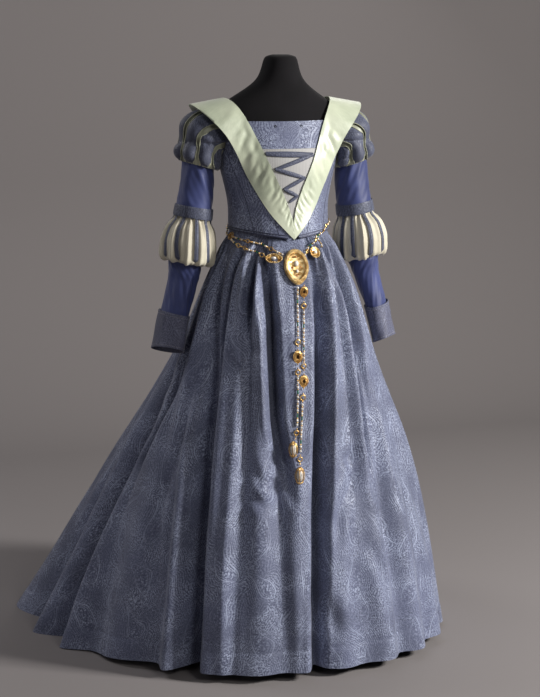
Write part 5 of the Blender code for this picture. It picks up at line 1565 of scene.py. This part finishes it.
STRANDS = {
    "girdle_strand_right": (STRAND_RIGHT_X, 0.986, 0.548,
                            [("beads", 0.984, 0.856), ("ring", 0.845, 0.016), ("disc", 0.809, 0.027),
                             ("ring", 0.7705, 0.016), ("beads", 0.759, 0.632), ("ring", 0.620, 0.015),
                             ("drop", 0.5815, 0.028)]),
    "girdle_strand_left": (STRAND_LEFT_X, 0.986, 0.485,
                           [("disc", 0.9695, 0.023), ("ring", 0.934, 0.016), ("beads", 0.922, 0.795),
                            ("ring", 0.784, 0.016), ("disc", 0.747, 0.026), ("ring", 0.706, 0.016),
                            ("beads", 0.694, 0.567), ("ring", 0.5545, 0.016), ("drop", 0.5165, 0.030)]),
}
collars = [bpy.data.objects[f"collar_{side}_cloth"] for side in SIDES]
dressed = surface_of(*bodice, waistband, *skirt, *collars)


def laid_round(path, lift):
    """A line round the hips through directions and heights, over the crests of the cloth near it."""
    path = np.array(path, float)
    steps = np.hypot(np.radians(np.diff(path[:, 0])) * 0.15, np.diff(path[:, 1]))
    run = np.concatenate([[0], np.cumsum(steps)])
    fine = through(run, path, np.linspace(0, run[-1], max(24, int(run[-1] / 0.003))))
    reach = []
    for degrees, z in fine:
        hits = [around(dressed, degrees + turn, z + rise, 0.0, SKIRT_AXIS[1])
                for turn in (-2.4, -1.2, 0, 1.2, 2.4) for rise in (-0.002, 0.002)]
        reach.append(max(math.hypot(hit.x, hit.y - SKIRT_AXIS[1]) for hit in hits if hit))
    reach = soften(np.array(reach)[:, None], 1.5, 0)[:, 0] + lift
    turn = np.radians(fine[:, 0])
    return np.stack([reach * np.cos(turn), SKIRT_AXIS[1] + reach * np.sin(turn), fine[:, 1]], axis=1)


def hanging(table, top, foot, lift):
    """A line that hangs down the front of the skirt, touching its crests."""
    z = np.linspace(top, foot, 180)
    table = sorted(table)
    x = through([row[0] for row in table], [row[1] for row in table], z)[:, 0]
    front = np.array([min(on_front(dressed, px + step, pz).y for step in (-0.004, 0, 0.004))
                      for px, pz in zip(x, z)])
    front = np.minimum(front, soften(front[:, None], 9.0, 0)[:, 0])
    front = soften(front[:, None], 3.0, 0)[:, 0] - lift
    return np.stack([x, front, z], axis=1)


def strung(line, pattern, into, outward):
    """Threads a pattern of beads along a line, and adds each kind's spots to a list."""
    route = Route(line)
    place = 0.0
    for kind in itertools.cycle(pattern.split()):
        _, width, length = BEADS[kind]
        if place + length > route.length:
            return
        point = route.at(place + length * 0.5)
        along = route.at(place + length * 0.9) - point
        thick = width * 0.8 if kind == "link" else width
        into.setdefault(kind, []).append((point, along / np.linalg.norm(along), outward(point),
                                          (thick, width, length)))
        place += length + BEAD_GAP


def at_height(line, z):
    """The point of a hanging line at a height."""
    return np.array([np.interp(-z, -line[:, 2], column) for column in line.T])


def away(point):
    return np.array([point[0], point[1] - SKIRT_AXIS[1], 0.0])


def straight_ahead(_):
    return np.array([0.0, -1.0, 0.0])


# %% [markdown]
# The mounts share one pattern: a domed egg or oval with a raised rim, a sunk floor, scrolls of wire,
# granules round the edge and a pearl in the middle. The plaque on the hip is gilt darkened with painted
# shade. Their places and slopes are read off the solids.

# %% Mounts
class Mount:
    """The place of a jewel: its back's middle, and the directions sideways, up and out."""

    def __init__(self, node):
        points = vertices_of(NODES[node])
        middle = points.mean(axis=0)
        self.out = np.linalg.svd(points - middle)[2][2]
        if self.out @ away(middle) < 0:
            self.out = -self.out
        self.side = np.cross([0, 0, 1.0], self.out)
        self.side /= np.linalg.norm(self.side)
        self.up = np.cross(self.out, self.side)
        across, rise = points @ self.side, points @ self.up
        self.wide, self.tall = np.ptp(across), np.ptp(rise)
        self.middle = (self.side * (across.max() + across.min()) / 2
                       + self.up * (rise.max() + rise.min()) / 2 + self.out * (points @ self.out).min())

    def spot(self, across, rise, out):
        return self.middle + self.side * across + self.up * rise + self.out * out


class Hung(Mount):
    """A mount on a hanging strand, which faces straight ahead."""

    def __init__(self, middle, wide, tall):
        self.middle, self.wide, self.tall = np.array(middle), wide, tall
        self.out, self.side, self.up = np.array([0, -1.0, 0]), np.array([1.0, 0, 0]), np.array([0, 0, 1.0])


def egg(turn, wide, tall, narrow):
    """A point of an egg-shaped outline, narrower at its foot."""
    taper = 1 - narrow * max(0.0, -math.sin(turn)) ** 1.5
    return wide / 2 * taper * math.cos(turn), tall / 2 * math.sin(turn)


def domed(name, mounts, profile, narrow, finish, replaces=()):
    """Closed dishes on mounts, from scale and height pairs between the back and the middle of the front."""
    sides, points, faces = 48, [], []
    for mount in mounts:
        start = len(points)
        for scale, rise in profile:
            for turn in even_turns(sides):
                x, y = egg(turn, mount.wide * scale, mount.tall * scale, narrow)
                points.append(tuple(mount.spot(x, y, rise)))
        for r in range(len(profile) - 1):
            for c in range(sides):
                a, b = start + r * sides + c, start + r * sides + (c + 1) % sides
                faces.append((a, b, b + sides, a + sides))
        points += [tuple(mount.spot(0, 0, profile[k][1])) for k in (0, -1)]
        last = start + (len(profile) - 1) * sides
        for c in range(sides):
            faces.append((start + (c + 1) % sides, start + c, len(points) - 2))
            faces.append((last + c, last + (c + 1) % sides, len(points) - 1))
    mesh = bpy.data.meshes.new(name)
    mesh.from_pydata(points, [], faces)
    return finished(name, mesh, finish, replaces)


def rim(mount, wide, tall, narrow, rise, size, spots):
    """Granules side by side along an egg-shaped outline."""
    outline = np.array([egg(turn, wide, tall, narrow) for turn in even_turns(240)])
    route = Route(np.concatenate([outline, outline[:1]]))
    count = round(route.length / size)
    for place in route.length * np.arange(count) / count:
        spots.append((mount.spot(*route.at(place), rise), mount.up, mount.out, (size, size, size)))


def scroll(mount, x, y, radius, rise, hand):
    """A spiral of wire on the floor of a mount."""
    line = []
    for t in np.linspace(0, 1, 26):
        angle, reach = hand * t * 1.6 * 2 * math.pi, radius * (1 - 0.82 * t)
        line.append(mount.spot(x + reach * math.cos(angle), y + reach * math.sin(angle), rise))
    return line


clasp = Mount("girdle_clasp")
front_plaque, side_plaque, hip_plaque = (Mount(f"girdle_plaque_{part}") for part in ("front", "side", "hip"))
CLASP_NARROW = 0.22
CLASP_PROFILE = [(0.96, 0.0), (1.0, 0.0026), (0.985, 0.0058), (0.93, 0.0086), (0.85, 0.0098), (0.79, 0.0090),
                 (0.74, 0.0070), (0.72, 0.0044), (0.70, 0.0040)]
domed("girdle_clasp_rim", [clasp], CLASP_PROFILE, CLASP_NARROW, GRAINED_GILT, ("girdle_clasp",))
granules, wires, mount_pearls, pale_rims = [], [], [], []
for share, rise, size in ((1.0, 0.0050, 0.0030), (0.955, 0.0080, 0.0026), (0.905, 0.0094, 0.0030),
                          (0.855, 0.0098, 0.0024), (0.800, 0.0092, 0.0028)):
    rim(clasp, clasp.wide * share, clasp.tall * share, CLASP_NARROW, rise, size, pale_rims)
rim(clasp, clasp.wide * 0.745, clasp.tall * 0.745, CLASP_NARROW, 0.0076, 0.0019, granules)
for hand in (-1, 1):
    for x, y, radius in ((0.0125, 0.022, 0.0062), (0.0145, 0.007, 0.0056), (0.0115, -0.007, 0.0056),
                         (0.0070, -0.0185, 0.0046), (0.0050, 0.0275, 0.0040)):
        wires.append(scroll(clasp, hand * x, y, radius, 0.0056, hand))
rim(clasp, 0.0180, 0.0240, 0.0, 0.0062, 0.0017, granules)
mount_pearls.append((clasp.spot(0, 0.0085, 0.0078), clasp.up, clasp.out, (0.0080, 0.0122, 0.0165)))
mount_pearls.append((clasp.spot(0, -0.0120, 0.0070), clasp.up, clasp.out, (0.0066, 0.0080, 0.0100)))
ambers = [(clasp.spot(x, y, 0.0055), clasp.up, clasp.out, (0.0040, w, h))
          for x, y, w, h in ((0.0, 0.0265, 0.0066, 0.0048), (0.0105, -0.001, 0.0040, 0.0052),
                             (-0.0105, -0.001, 0.0040, 0.0052), (0.0, -0.0225, 0.0050, 0.0062))]
for name, mount in (("front", front_plaque), ("side", side_plaque)):
    domed(f"girdle_plaque_{name}_body", [mount], [(0.90, 0.0), (0.95, 0.0018), (0.90, 0.0034), (0.80, 0.0036),
          (0.70, 0.0022), (0.66, 0.0020)], 0.0, GILT, (f"girdle_plaque_{name}",))
    rim(mount, mount.wide * 0.91, mount.tall * 0.91, 0.0, 0.0034, 0.0040, pale_rims)
    rim(mount, mount.wide * 0.60, mount.tall * 0.66, 0.0, 0.0034, 0.0019, granules)
    mount_pearls.append((mount.spot(0, 0, 0.0052), mount.side, mount.out,
                         (0.0070, mount.tall * 0.36, max(0.0110, mount.wide * 0.28))))
    for hand in (1, -1):
        wires.append(scroll(mount, hand * 0.74 * mount.wide * 0.41, 0.0, 0.0040, 0.0040, hand))
# The hip plaque's body is darker gilt: painted shade.
domed("girdle_plaque_hip_body", [hip_plaque], [(0.55, 0.0), (0.62, 0.0016), (0.55, 0.0030), (0.40, 0.0032)],
      0.0, SHADE_PAINTED_GILT, ("girdle_plaque_hip",))
rim(hip_plaque, hip_plaque.wide * 0.88, hip_plaque.tall * 0.88, 0.0, 0.0026, 0.0030, granules)
rim(hip_plaque, hip_plaque.wide * 0.52, hip_plaque.tall * 0.52, 0.0, 0.0036, 0.0020, granules)

# %% [markdown]
# Every string is threaded by its pattern. On the two hanging strands the rings, discs and drops have heights
# of their own, with a gold bead above and below each.

# %% Chains and strands
strings = {}
for node, path in CHAINS.items():
    into = strings.setdefault(node, {})
    strung(laid_round(path, 0.0030), PATTERNS[node], into, away)
strung(laid_round(SECOND_CHAIN, 0.0034), PATTERNS["second"], strings["girdle_chain_back"], away)
discs, drops = [], []
for node, (table, top, foot, items) in STRANDS.items():
    into = strings.setdefault(node, {})
    line = hanging(table, top, foot, 0.0042)
    for kind, z, size in items:
        point = at_height(line, z)
        if kind == "beads":
            part = line[(line[:, 2] <= z) & (line[:, 2] >= size)]
            strung(part, PATTERNS["strand"], into, straight_ahead)
            continue
        if kind == "ring":
            into.setdefault("link", []).append((point, (0, 0, 1), (0, -1, 0), (size * 0.9, size, size)))
            gaps = (z + size / 2 + 0.0020, z - size / 2 - 0.0020)
        elif kind == "disc":
            discs.append(Hung(point + (0, 0.0030, 0), size * 0.98, size * 1.30))
            gaps = (z + size * 0.68, z - size * 0.68)
        else:
            drops.append(Hung(point, size, size * 1.66))
            gaps = (z + size * 0.86,)
        for gap in gaps:
            into.setdefault("gold", []).append((at_height(line, gap), (0, 0, 1), (0, -1, 0),
                                                (0.0038, 0.0038, 0.0046)))
LOOKS = {"big": (PEARL, "girdle_beads"), "pearl": (PEARL, "girdle_beads"), "link": (GILT, "girdle_gilt"),
         "tube": (GREEN_GLASS, "girdle_beads"), "gold": (GILT, "girdle_gilt")}
for node, kinds in strings.items():
    for kind, spots in kinds.items():
        finish, slot = LOOKS[kind]
        beads(f"{node}_{kind}", spots, BEADS[kind][0], finish, slot, uneven=0.07, seed=len(spots),
              replaces=(node,) if kind == "gold" else ())

# %% [markdown]
# The filigree discs are pierced, drawn as a near-black cap of painted shade in the middle of each. The drops
# are wire cages: eight bowed ribs round a long pearl, between a cone above and a cluster of granules below.

# %% Discs and drops
for disc in discs:
    rim(disc, disc.wide * 0.90, disc.tall * 0.90, 0.0, 0.0030, 0.0029, granules)
    rim(disc, disc.wide * 0.62, disc.tall * 0.62, 0.0, 0.0042, 0.0024, granules)
    rim(disc, disc.wide * 0.38, disc.tall * 0.44, 0.0, 0.0048, 0.0018, granules)
domed("strand_discs", discs, [(0.90, 0.0), (0.94, 0.0016), (0.86, 0.0030), (0.60, 0.0036), (0.36, 0.0034),
                              (0.30, 0.0006)], 0.0, GILT)
# A near-black cap in each disc's middle: painted shade where the filigree is pierced.
domed("strand_disc_hollows", discs, [(0.27, 0.0028), (0.30, 0.0034), (0.27, 0.0037)], 0.0, PIERCING_SHADE)
cage = []
for drop in drops:
    half, tall = drop.wide / 2, drop.tall
    for k in range(8):
        turn = 2 * math.pi * (k + 0.5) / 8
        line = []
        for t in np.linspace(0, 1, 18):
            bow = half * 0.86 * math.sin(math.pi * (0.10 + 0.80 * t)) ** 0.8
            line.append(drop.middle + np.array([bow * math.cos(turn), bow * 0.85 * math.sin(turn),
                                                tall * (0.36 - 0.80 * t)]))
        cage.append(line)
    for height, radius, size in ((0.36, 0.34, 0.0028), (0.40, 0.22, 0.0028), (-0.42, 0.42, 0.0032),
                                 (-0.36, 0.62, 0.0026), (0.27, 0.62, 0.0022), (-0.47, 0.15, 0.0034)):
        count = max(4, round(2 * math.pi * half * radius / size))
        for turn in even_turns(count):
            x, y = half * radius * math.cos(turn), half * radius * 0.85 * math.sin(turn)
            place = drop.middle + np.array([x, y, tall * height])
            granules.append((place, drop.up, drop.out, (size, size, size)))
    mount_pearls.append((drop.middle - (0, 0, tall * 0.04), drop.up, drop.out,
                         (drop.wide * 0.56, drop.wide * 0.60, tall * 0.62)))
cords("drop_cages", cage, 0.0009, GILT, "girdle_gilt")
cords("mount_scrolls", wires, 0.0006, GILT, "girdle_gilt")
beads("mount_granules", granules, GRAIN_SHAPE, GILT, "girdle_gilt", uneven=0.08, seed=5)
beads("clasp_edge_granules", pale_rims, GRAIN_SHAPE, GRAINED_GILT, "girdle_gilt", uneven=0.10, seed=6)
beads("mount_pearls", mount_pearls, PEARL_SHAPE, PEARL, "girdle_beads", uneven=0.02, seed=7)
beads("clasp_ambers", ambers, PEARL_SHAPE, AMBER, "girdle_beads", uneven=0.05, seed=8)
for shape in TEMPLATES:
    bpy.data.objects.remove(shape)
print("granules:", len(granules) + len(pale_rims))


# %% [markdown]
# ## Cloth sizes
# Every sheet has a row with the size that its cloth was cut to, so that a reader can lay the dress out on a
# bolt. A row gives the width and length of the rectangle that holds the cut, how the cloth is held and what
# it lies on. That rectangle is not the cloth's real area, because gores taper, the insert is a triangle and
# the puffs are gathered.

# %% Sheets
SHEETS = {
    "bodice_front": (0.120, 0.336, "stretched", "stand_cover"),
    "bodice_side": (0.205, 0.224, "stretched", "stand_cover"),
    "bodice_back": (0.160, 0.336, "stretched", "stand_cover"),
    "stomacher": (0.200, 0.196, "stretched", "stand_cover"),
    "neckline": (0.250, 0.071, "stretched", "stand_cover"),
    "collar": (0.080, 0.720, "folded", "bodice_front{side}_cloth"),
    "lacing": (0.012, 0.560, "stretched", "stomacher_cloth"),
    "skirt_waistband": (0.836, 0.018, "stretched", "stand_cover"),
    "sleeve_shoulder_lining": (0.434, 0.128, "gathered", "bodice_side{side}_cloth"),
    "sleeve_shoulder_panes": (0.300, 0.180, "gathered", "sleeve_shoulder_lining{side}_cloth"),
    "sleeve_upper": (0.308, 0.137, "hung", "sleeve_shoulder_lining{side}_cloth"),
    "sleeve_elbow_band": (0.339, 0.031, "stretched", "sleeve_upper{side}_cloth"),
    "sleeve_elbow_puff": (0.539, 0.153, "gathered", "sleeve_elbow_band{side}_cloth"),
    "sleeve_elbow_panes": (0.120, 0.148, "stretched", "sleeve_elbow_puff{side}_cloth"),
    "sleeve_lower": (0.293, 0.148, "hung", "sleeve_elbow_puff{side}_cloth"),
    "cuff": (0.284, 0.101, "stretched", "sleeve_lower{side}_cloth"),
}
GORE_LENGTH = 1.238
GORE_WIDTHS = {"front": 0.362, "front_left": 0.281, "front_right": 0.289, "side_left": 0.321,
               "side_right": 0.624, "back_side_left": 0.487, "back_side_right": 0.599, "back_left": 0.712,
               "back_right": 0.720}
for gore, width in GORE_WIDTHS.items():
    SHEETS["skirt_" + gore] = (width, GORE_LENGTH, "gathered", "skirt_waistband_cloth")


sheets = [piece for piece in bpy.data.objects if piece.name.endswith("_cloth")]
for piece in sheets:
    base, side = piece.name.removesuffix("_cloth"), ""
    if base not in SHEETS:
        base, side = base.rsplit("_", 1)
        side = "_" + side
    width, length, held, under = SHEETS[base]
print("sheets:", len(sheets))


# %% [markdown]
# The boxes of the solids and of the finished dress are kept side by side, so that the two can be compared.

# %% Sizes and finish
low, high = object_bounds()
for label, box in (("solids", CAD_BOX), ("dress", (low, high))):
    print("size of the " + label + ":", [round(v, 4) for v in box[1] - box[0]])
